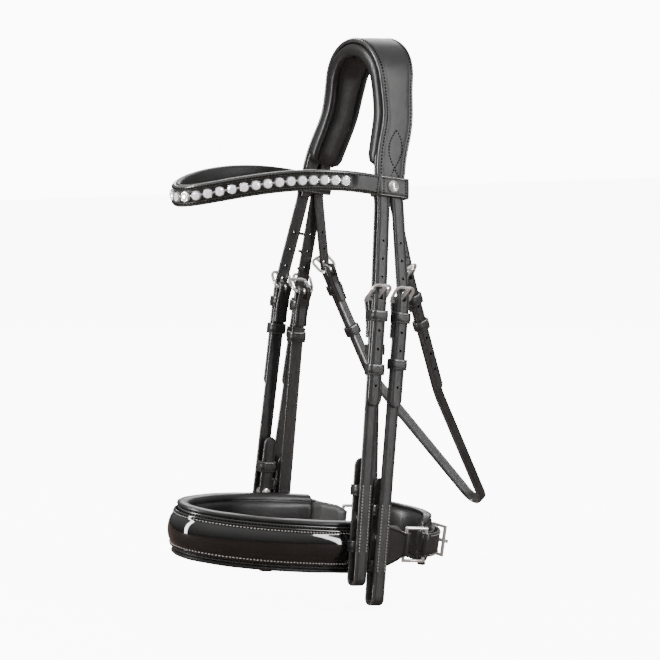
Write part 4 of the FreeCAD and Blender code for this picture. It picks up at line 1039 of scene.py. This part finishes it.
def throat_path():
    """The whole throatlatch: fold, leg, V under the jaw, leg and fold, with its side directions."""
    straps = SETS["throat"]
    angle, bend, tilt = math.radians(15.2), 12.0, 36.7
    left, right = straps.bar("left"), straps.bar("right")
    leg = lay(chape_points(-straps.length), 4.0, fine_start=True)
    foot = left.point(FOLD_MIDDLE, 0, -straps.length)
    centre_z = -(foot[0] * math.cos(angle) - bend) / math.sin(angle)
    plane = ROW.turned(turn("X", tilt))
    plane.origin = np.array((0, foot[1], foot[2]))
    bottom = [(bend * math.cos(a), 0, centre_z - bend * math.sin(a))
              for a in np.linspace(angle, math.pi - angle, 17)]
    v_part = plane.points(lay([(foot[0], 0, 0)] + bottom + [(-foot[0], 0, 0)], 4.0)[1:-1])
    points = np.vstack([left.points(leg), v_part, right.points(leg)[::-1]])
    sides = np.vstack([np.tile(left.axes[:, 1], (len(leg), 1)), np.tile(plane.axes[:, 1], (len(v_part), 1)),
                       np.tile(-right.axes[:, 1], (len(leg), 1))])
    sides = soften(sides, 4)
    rise = len(leg)
    smooth = soften(points, 2)
    middle = slice(rise - 4, len(points) - rise + 4)
    points[middle] = smooth[middle]
    return Track(points, sides)


def build_throatlatch():
    straps = SETS["throat"]
    track = throat_path()
    shape = Shape()
    shape.sweep(track, straps.width / 2, STRAP_THICKNESS)
    item = shape.stand_for("throatlatch_strap", LEATHERS, "throatlatch")
    cutters, keepers, stitches = Shape(), Shape(), Shape()
    for side_name in SIDES:
        local = straps.bar(side_name)
        block_cutter(cutters, local, *BAR_SLOT)
        keeper(keepers, local, 1.0, 8.0, straps.width / 2, -THROAT_KEEPER_DROP)
        chape_stitching(stitches, straps, side_name)
        build_runner(straps, side_name, f"throatlatch_runner_{side_name}")
        build_billet(straps, side_name, f"throatlatch_billet_{side_name}_visual",
                     "throatlatch_billets")
    punch(item, cutters)
    keepers.stand_for("throatlatch_keepers", LEATHERS, "throatlatch")
    stitches.build("throatlatch_stitches", LEATHERS, "throatlatch")


# ------------------------------------------------------------------ browband


BAND_WIDTH, BAND_REACH, BAND_CENTRE = 65.5, 154.0, -30.0
BAND_HALF, BAND_THICKNESS = 9.0, 3.0
WAVE_Y, WAVE_Z, WAVE_RADIUS = -85.0, -459.3, 353.0
LOOP_PLACE, LOOP_LEAN = (58.2, -1.6, -115.5), -8
LOOP_HALF_X, LOOP_HALF_Y, LOOP_WALL = 4.65, 16.3, 2.0
STONE_PITCH, STONE_END = 10.4, -50.0
CHANNEL_DEPTH = 1.1
# turned outlines as (height, radius): a stone's girdle, crown and table, its cup, and a claw
CRYSTAL_PROFILE = ((1.6, 2.9), (2.2, 3.5), (2.7, 3.45), (3.7, 2.3), (4.05, 1.5))
CUP_PROFILE = ((0, 3.9), (0.2, 4.3), (2.3, 4.3), (2.75, 4.05), (2.8, 3.6), (2.2, 3.5))
CLAW_PROFILE = ((1.6, 0.75), (2.8, 0.7), (3.15, 0.35))


def wave_z(y):
    """Height of the browband's middle line: an arc seen from the side."""
    return WAVE_Z + math.sqrt(WAVE_RADIUS ** 2 - (y - WAVE_Y) ** 2)


def band_track(inset, end_y, step=2.5):
    """A line around the browband at a depth inside its outer face, from right to left."""
    width, reach = BAND_WIDTH - inset, BAND_REACH - inset
    end = math.acos(np.clip((BAND_CENTRE - end_y) / reach, -1, 1))
    points = []
    for angle in np.linspace(-end, end, 241):
        y = BAND_CENTRE - reach * math.cos(angle)
        points.append((width * math.sin(angle), y, wave_z(y)))
    return Track(resample(points, step), UP)


def band_section(half, thickness):
    """The browband across its height: raised stitched borders beside a sunk channel."""
    level, border = thickness / 2, half - 3.6
    face = [(half - 1.9, level + 0.35), (border + 0.4, level + 0.3), (border, level),
            (half - 4.3, level - 1.1), (0, level - 1.15)]
    return edged_section(half, thickness, face)


def plain_band_section(half, thickness):
    """The browband's plain ends, with the channel run out."""
    points, tags = band_section(half, thickness)
    level = thickness / 2
    inner = (np.abs(points[:, 0]) < half - 3.5) & (points[:, 1] > 0)
    points[inner, 1] = level + 0.35
    return points, tags


def loop_axes(side):
    """The frame of a browband loop: x away from the horse, z up through the loop."""
    local = ROW.turned(turn("Y", -side * 11) @ turn("X", LOOP_LEAN) @ turn("Z", 0 if side > 0 else 180))
    local.origin = np.array((side, 1, 1)) * LOOP_PLACE
    return local


def build_browband():
    body = "browband"
    shape = Shape()
    track = band_track(BAND_THICKNESS / 2, -18.2)
    channel_end = STONE_END + 7

    def section_at(place):
        return band_section if place[1] < channel_end else plain_band_section

    sweep_band(shape, track, section_at)
    for side in SIDES.values():
        loop = rounded_loop(-LOOP_HALF_X - LOOP_WALL / 2, LOOP_HALF_X + LOOP_WALL / 2,
                            -LOOP_HALF_Y - LOOP_WALL / 2, LOOP_HALF_Y + LOOP_WALL / 2, 3.4)
        ring = Track(loop, (0, 0, 1), loop_axes(side), closed=True)
        shape.sweep(ring, BAND_HALF, LOOP_WALL)
    shape.stand_for("browband_leather", LEATHERS, body)
    build_band_stitches(track)
    lining = band_track(5.1, -27.0)
    shape = Shape()
    shape.sweep(lining, 8.9, 4.0, lining_section, blunt=1.4)
    item = shape.stand_for("browband_lining", (LINING,), body, "padding_black")
    ripple(item, 0.25, 70)
    build_stones()
    build_buttons()


def lining_section(half, thickness):
    """The browband's lining: flat against the leather, swelling softly on the inside."""
    keys = [(0, thickness / 2), (-0.75 * half, thickness / 2), (-half, 0.1 * thickness),
            (-0.86 * half, -0.45 * thickness), (-0.4 * half, -0.72 * thickness), (0, -0.8 * thickness)]
    keys = keys + mirrored(keys[1:-1])
    loop = smooth_loop(keys, 40)
    return loop, [0] * len(loop)


def sweep_band(shape, track, section_at):
    """A sweep whose section is picked point by point; every section has as many points."""
    rings = []
    for index, place in enumerate(track.points):
        outline, tags = section_at(place)(BAND_HALF, BAND_THICKNESS)
        rings.append((place, track.side[index], track.normal[index], outline))
    shape.skin(rings, tags, False, 0)


def build_band_stitches(track):
    shape = Shape()
    lift = BAND_THICKNESS / 2 + 0.36
    for hand in (-1, 1):
        shape.stitch_row(track, hand * (BAND_HALF - 2.4), lift, 3.0, track.length[-1] - 2, 2.8, 0.55)
    for place in (2.2, track.length[-1] - 2.2):
        point, _, side, normal = track.at(place)
        for across in np.arange(-BAND_HALF + 3, BAND_HALF - 2.5, 2.2):
            shape.stitch(point + across * side + lift * normal, side, normal, 1.6, 0.5, 2)
    for side in SIDES.values():
        local = loop_axes(side)
        face = LOOP_HALF_X + LOOP_WALL + 0.1
        for place in (-LOOP_HALF_Y + 5.2, LOOP_HALF_Y - 4.0):
            y = side * place
            row = Track([(face, y, -BAND_HALF + 2), (face, y, BAND_HALF - 2)], (0, -1, 0), local)
            shape.stitch_row(row, 0, 0, 0, row.length[-1], 2.6, 0.5)
    shape.build("browband_stitches", LEATHERS, "browband")


def stone_frames():
    """Frames on the channel's floor, evenly spaced from the front centre: x points outwards."""
    track = band_track(0, STONE_END, 1.0)
    middle = track.length[-1] / 2
    count = int(middle / STONE_PITCH)
    frames = []
    for k in range(-count, count + 1):
        point, _, _, normal = track.at(middle + k * STONE_PITCH)
        out = unit(np.array((normal[0], normal[1], 0.0)))
        frames.append(Frame(point - CHANNEL_DEPTH * out, out, np.cross(UP, out), UP))
    return frames


def build_stones():
    crystals, cups = Shape(), Shape()
    places = stone_frames()
    for index, local in enumerate(places):
        spin = turn("X", 9 * (index % 4))
        crystals.lathe(local.turned(spin), CRYSTAL_PROFILE, steps=12)
        cups.lathe(local, CUP_PROFILE, steps=28)
        for claw in range(4):
            around = local.turned(turn("X", 45 + 90 * claw))
            cups.lathe(around.moved((0, 3.75, 0)), CLAW_PROFILE, steps=10)
    for here, after in zip(places, places[1:]):
        reach = after.origin - here.origin
        along = unit(reach)
        out = unit(here.axes[:, 0] + after.axes[:, 0])
        middle = (here.origin + after.origin) / 2 + CHANNEL_DEPTH * out
        link = Frame(middle, along, np.cross(out, along), out)
        half = np.linalg.norm(reach) / 2 - 4.2 + 0.6
        cups.lathe(link, ((-half, 0.9), (half, 0.9)), steps=10)
    crystals.stand_for("browband_crystals", (CRYSTAL,), "browband", "crystal", 8)
    cups.stand_for("browband_settings", (STEEL,), "browband", "setting")


def build_buttons():
    """Round buttons on the browband's loops, turned with plain rings."""
    rings = (((0, 5.2), (1.0, 5.4), (1.8, 5.2), (2.1, 4.6), (1.8, 4.2)),
             ((1.2, 4.25), (1.55, 4.2), (1.55, 3.7)),
             ((1.2, 3.8), (2.1, 3.7), (2.25, 3.3), (2.0, 2.9)), ((1.2, 3.0), (1.7, 2.9), (1.7, 2.2)),
             ((1.2, 2.3), (2.2, 2.2), (2.5, 1.2), (2.55, 0.4)))
    shape = Shape()
    for side in SIDES.values():
        local = loop_axes(side).moved((LOOP_HALF_X + LOOP_WALL, -1.4 * side, 0))
        for index, profile in enumerate(rings):
            shape.lathe(local, profile, tag=index % 2, steps=40)
    shape.stand_for("browband_buttons", (STEEL, DARK_METAL), "browband",
                "steel", 50)


# ------------------------------------------------------------------ noseband


NOSE = ROW.turned(turn("X", -7) @ turn("Y", 3))
NOSE.origin = np.array((0, -55.5, -426.0))
NOSE_WIDTH, NOSE_LENGTH = 67.0, 128.6
BELT_CENTRE, BELT_RADIUS, BELT_ANGLE, BELT_HALF = 83.5, 54.1, 71.5, 11.0
BELT_BUCKLE = 20.0
BAR_X, BAR_Y = 50.0, 79.0
PANEL_END = 44.0


def nose_points(inset, end_y, count=161):
    """A line around the noseband at a depth inside its outer face, from right to left."""
    width, length = NOSE_WIDTH - inset, NOSE_LENGTH - inset
    end = math.acos(np.clip(-end_y / length, -1, 1))
    angles = np.linspace(-end, end, count)
    return np.stack([width * np.sin(angles), -length * np.cos(angles), 0 * angles], 1)


def build_noseband():
    body = "noseband"
    points = resample(nose_points(1.5, 74), 3.0)
    ends = [(-BAR_X, BAR_Y - 2.5, 0)], [(BAR_X, BAR_Y - 2.5, 0)]
    track = Track(np.vstack([ends[0], points, ends[1]]), UP, NOSE)
    reach = track.from_ends()
    half = 11 + 8.0 * np.clip((reach - 3) / 26, 0, 1) ** 0.8
    shape = Shape()
    shape.sweep(track, half, 3.0)
    for side in SIDES.values():
        across, ahead, up = NOSE.axes.T
        eye = Frame(NOSE.point(side * BAR_X, BAR_Y, 0), up, across, ahead)
        shape.lathe(eye, ((-10.9, 3.0), (-10.4, 3.9), (-9.6, 4.1), (9.6, 4.1), (10.4, 3.9), (10.9, 3.0)),
                    tag=0, steps=24)
    shape.stand_for("noseband_leather", LEATHERS, body)
    stitches = Shape()
    for hand in (-1, 1):
        edge_stitches(stitches, track, half, hand, 2.2, 1.6, 4, track.length[-1] - 4)
    stitches.build("noseband_stitches", LEATHERS, body)
    build_patent(body)
    build_nose_padding(body)
    build_crank(body)
    build_chin_pad(body)
    build_end_pillows(body)


def patent_section(half, thickness):
    """Padded patent leather: thin sewn borders and a full, smooth crown between them."""
    level, border = thickness / 2, half - 3.6
    face = [(half - 1.8, level), (border, level - 0.1), (border - 0.5, level + 0.15)]
    for share in (0.93, 0.85, 0.72, 0.55, 0.36, 0.18, 0.0):
        face.append(((border - 0.9) * share, level + 0.4 + 3.0 * (1 - share ** 2.4)))
    return edged_section(half, thickness, face, edge=0)


def build_patent(body):
    track = Track(resample(nose_points(-1.8, 12), 2.5), UP, NOSE)
    reach = track.from_ends()
    half = 16.3 * (0.6 + 0.4 * np.sqrt(np.clip(reach / 12, 0, 1)))
    shape = Shape()
    shape.sweep(track, half, 2.6, patent_section)
    shape.stand_for("noseband_patent", (PATENT,), body, "patent", 60)
    rows = Shape()
    for hand in (-1, 1):
        for place in np.arange(3, track.length[-1] - 3, 3.0):
            point, along, side, normal = track.at(place)
            reach_there = np.interp(place, track.length, half) - 2.7
            rows.stitch(point + hand * reach_there * side + 1.25 * normal, along, normal, 2.1, 0.5, 0)
    rows.build("noseband_patent_stitches", (LIGHT_THREAD,), body)


def build_nose_padding(body):
    track = Track(resample(nose_points(8.0, PANEL_END), 3.0), UP, NOSE)
    shape = Shape()
    shape.sweep(track, 23.3, 9.0, nose_pad_section, blunt=1.5)
    item = shape.stand_for("noseband_padding", (SOFT,), body, "padding_black")
    ripple(item, 0.3, 55)


def nose_pad_section(half, thickness):
    """The noseband's padding: a fat roll along each edge, a seam, then a soft inner panel."""
    level = thickness / 2
    edge = [(8.5, level), (6.0, level + 0.2), (4.6, level + 1.2), (3.4, level + 3.9), (1.2, level + 3.8),
            (0.0, level + 0.2), (0.4, level - 4.2), (2.4, 2.0 - level), (4.8, 1.0 - level),
            (6.2, 2.4 - level), (7.8, 0.7 - level), (11.5, -0.9 - level)]
    return rolled_loop(half, edge, level, -level - 1.6)


def belt_arc(radius, start, stop, step=2.5):
    count = max(3, int(abs(math.radians(stop - start)) * radius / step))
    angles = np.radians(np.linspace(start, stop, count))
    return [(radius * math.sin(a), BELT_CENTRE + radius * math.cos(a), 0.0) for a in angles]


def belt_end(side, layer):
    """The turn of the closing strap around a ring's bar, from its outside to its inside."""
    angle = side * math.radians(BELT_ANGLE)
    out = np.array((math.sin(angle), math.cos(angle), 0))
    ahead = side * np.array((math.cos(angle), -math.sin(angle), 0))
    centre = BELT_RADIUS * out + np.array((0, BELT_CENTRE, 0))
    turns = np.linspace(0, math.pi, 9)[1:-1]
    return [tuple(centre + layer * (math.cos(t) * out + math.sin(t) * ahead)) for t in turns]


def build_crank(body):
    """The closing strap: both rings hang in its ends and its tip lies outside."""
    layer = 2.8
    outer = belt_arc(BELT_RADIUS + layer, BELT_ANGLE, -BELT_ANGLE)
    inner = belt_arc(BELT_RADIUS - layer, -BELT_ANGLE, BELT_ANGLE)
    loop = outer + belt_end(-1, layer) + inner + belt_end(1, layer)[::-1]
    track = Track(loop, (0, 0, 1), NOSE, closed=True)
    shape = Shape()
    shape.sweep(track, BELT_HALF, 2.4)
    tip = belt_arc(BELT_RADIUS + 4.6, BELT_BUCKLE - 3, BELT_BUCKLE - 7, 1.0)
    tip += belt_arc(BELT_RADIUS + 5.2, BELT_BUCKLE - 8, BELT_BUCKLE - 27, 1.2)
    tip_track = Track(lay(soften(np.array(tip), 2), 3.0, fine_end=True), (0, 0, 1), NOSE)
    shape.sweep(tip_track, rounded(tip_track, BELT_HALF - 0.2, at_end=True, tip=9.0), 2.4)
    item = shape.stand_for("crank_strap", LEATHERS, body)
    local = NOSE.turned(turn("Z", -BELT_BUCKLE))
    local.origin = NOSE.points(belt_arc(BELT_RADIUS, BELT_BUCKLE, 90))[0]
    cutters = Shape()
    block_cutter(cutters, local, (-2.8, -2.6, -2), (9.8, 9, 2))
    punch(item, cutters)
    stitches = Shape()
    seam = BELT_RADIUS * math.radians(BELT_ANGLE - BELT_BUCKLE) - 12
    for hand in (-1, 1):
        stitches.stitch_row(track, hand * (BELT_HALF - 2.2), 1.3, 4, seam, 2.4, 0.36, tag=4)
    stitches.build("crank_stitches", (*LEATHERS, LIGHT_THREAD), body)


def build_chin_pad(body):
    radius, limit = 44.2, 61.0
    track = Track(belt_arc(radius, limit, -limit, 2.5), (0, 0, 1), NOSE)
    reach = track.from_ends()
    swell = np.sqrt(np.clip(reach / 14, 0, 1))
    shape = Shape()
    shape.sweep(track, 24 * (0.62 + 0.38 * swell), 10 * (0.4 + 0.6 * swell), chin_section, blunt=1.6)
    item = shape.stand_for("chin_pad", (SOFT,), body, "padding_black")
    ripple(item, 0.35, 50, 7.0)


def chin_section(half, thickness):
    """The jaw pad: piped edges with a full cushion between them."""
    level = thickness / 2
    edge = [(9.0, level + 0.4), (4.6, level - 0.8), (3.6, level - 1.8), (2.4, level - 0.8),
            (0.4, level - 1.6), (0.2, 2.2 - level), (2.4, 1.2 - level), (3.8, 2.2 - level),
            (6.0, 0.6 - level), (11.0, -1.2 - level)]
    return rolled_loop(half, edge, level + 0.7, -level - 2.0)


def build_end_pillows(body):
    """Stuffed end pieces inside the noseband, between its panel and its rings, in leather with a painted
    sheen.
    """
    shape = Shape()
    for side in SIDES.values():
        path = [p for p in nose_points(9.5, 78, 241) if p[1] > PANEL_END - 1 and p[0] * side > 0]
        track = Track(resample(path, 1.5), UP, NOSE)
        share = (track.length if side < 0 else track.length[-1] - track.length) / track.length[-1]
        distance = track.from_ends()
        swell = np.sqrt(np.clip(distance / 9, 0, 1))
        half = (15 + 4.5 * share) * (0.7 + 0.3 * swell)
        shape.sweep(track, half, 13.0 * (0.25 + 0.75 * swell), pillow_section, blunt=1.0)
    item = shape.build("noseband_end_pillows", (PUFFED_PAINTED_SHEEN,), body, (), "padding_black", 60)
    ripple(item, 0.6, 60, 5.0)


def pillow_section(half, thickness):
    """A cushion drawn in to a seam along each edge."""
    level = thickness / 2
    edge = [(0.45 * half, 0.9 * level), (0.12 * half, 0.5 * level), (0.0, 0.0), (0.1 * half, -0.5 * level),
            (0.3 * half, -0.85 * level)]
    return rolled_loop(half, edge, level, -1.05 * level)


# ------------------------------------------------------------------ metal parts kept from the CAD


def finish_metal():
    """Rounds the edges of the buckles, tongues, studs and rings."""
    for item in list(bpy.data.objects):
        name = item.name
        kept = any(word in name for word in ("crank_buckle", "tongue", "stud", "rings"))
        if item.type != "MESH" or not kept or name.endswith("_visual"):
            continue
        item.data.materials.clear()
        item.data.materials.append(STEEL)
        weld = item.modifiers.new("weld", "WELD")
        weld.merge_threshold = 0.00002
        bevel = item.modifiers.new("round", "BEVEL")
        bevel.width = 0.0008 if "buckle" in name else 0.0004
        bevel.segments = 3
        bevel.limit_method = "ANGLE"
        bevel.angle_limit = math.radians(40)
        bevel.harden_normals = True
        item.data.shade_smooth()


# ------------------------------------------------------------------ stage


def on_stage(item):
    bpy.context.scene.collection.objects.link(item)


def lamp(name, place, target, size, energy, mirrored=True):
    """A soft light; one that is not mirrored leaves no shape on the glossy leather."""
    light = bpy.data.lights.new(name, "AREA")
    light.shape = "RECTANGLE"
    light.size, light.size_y = size
    light.energy = energy
    item = bpy.data.objects.new(name, light)
    item.visible_glossy = mirrored
    item.location = place
    item.rotation_euler = (Vector(target) - Vector(place)).to_track_quat("-Z", "Y").to_euler()
    on_stage(item)


def build_stage():
    floor = bpy.data.meshes.new("floor")
    around = ((-1, -1), (1, -1), (1, 1), (-1, 1))
    corners = [(FLOOR_REACH * x, FLOOR_REACH * y, FLOOR_LEVEL) for x, y in around]
    floor.from_pydata(corners, [], [(0, 1, 2, 3)])
    floor.materials.append(studio_floor())
    on_stage(bpy.data.objects.new("floor", floor))
    world = bpy.data.worlds.new("studio")
    world.use_nodes = True
    background = world.node_tree.nodes["Background"]
    set_inputs(background, Color=(1, 1, 1, 1))
    tree = world.node_tree
    rays, span = tree.nodes.new("ShaderNodeLightPath"), tree.nodes.new("ShaderNodeMapRange")
    tree.links.new(rays.outputs["Is Camera Ray"], span.inputs["Value"])
    height, fade = tree.nodes.new("ShaderNodeSeparateXYZ"), tree.nodes.new("ShaderNodeMapRange")
    tree.links.new(tree.nodes.new("ShaderNodeTexCoord").outputs["Generated"], height.inputs["Vector"])
    tree.links.new(height.outputs["Z"], fade.inputs["Value"])
    set_inputs(fade, To_Min=WORLD_LOW, To_Max=WORLD_HIGH)
    tree.links.new(fade.outputs["Result"], span.inputs["To Min"])
    set_inputs(span, To_Max=WORLD_SEEN)
    tree.links.new(span.outputs["Result"], background.inputs["Strength"])
    bpy.context.scene.world = world
    aim = (0, -0.02, -0.24)
    lamp("left", (-0.5, -1.7, 0.4), aim, (0.25, 1.8), 44)
    lamp("right", (1.5, 0.9, 0.4), aim, (0.22, 1.8), 26)
    lamp("front", (1.4, -1.3, 1.3), aim, (1.2, 0.8), 12, mirrored=False)
    lamp("top", (0.0, 0.2, 1.6), aim, (1.4, 1.4), 20, mirrored=False)
    lamp("back", (-1.4, 1.0, 0.7), aim, (1.0, 1.2), 16)


def build_camera():
    target = Vector((0, -0.025, -0.245))
    rise, heading = math.radians(6.3), math.radians(55)
    away = Vector((math.cos(rise) * math.sin(heading), -math.cos(rise) * math.cos(heading), math.sin(rise)))
    data = bpy.data.cameras.new("camera")
    data.lens, data.sensor_width = 127.3, 36
    item = bpy.data.objects.new("camera", data)
    item.location = target + 2.1 * away
    item.rotation_euler = (-away).to_track_quat("-Z", "Y").to_euler()
    on_stage(item)
    bpy.context.scene.camera = item


def build_all():
    finish_metal()
    build_crown_leather()
    build_crown_padding()
    build_poll_straps()
    for kind in ("front", "rear"):
        for side_name in SIDES:
            build_cheek(SETS[kind], side_name)
    build_hangers()
    build_throatlatch()
    build_buckles()
    build_browband()
    build_noseband()
    build_stage()
    build_camera()


build_all()
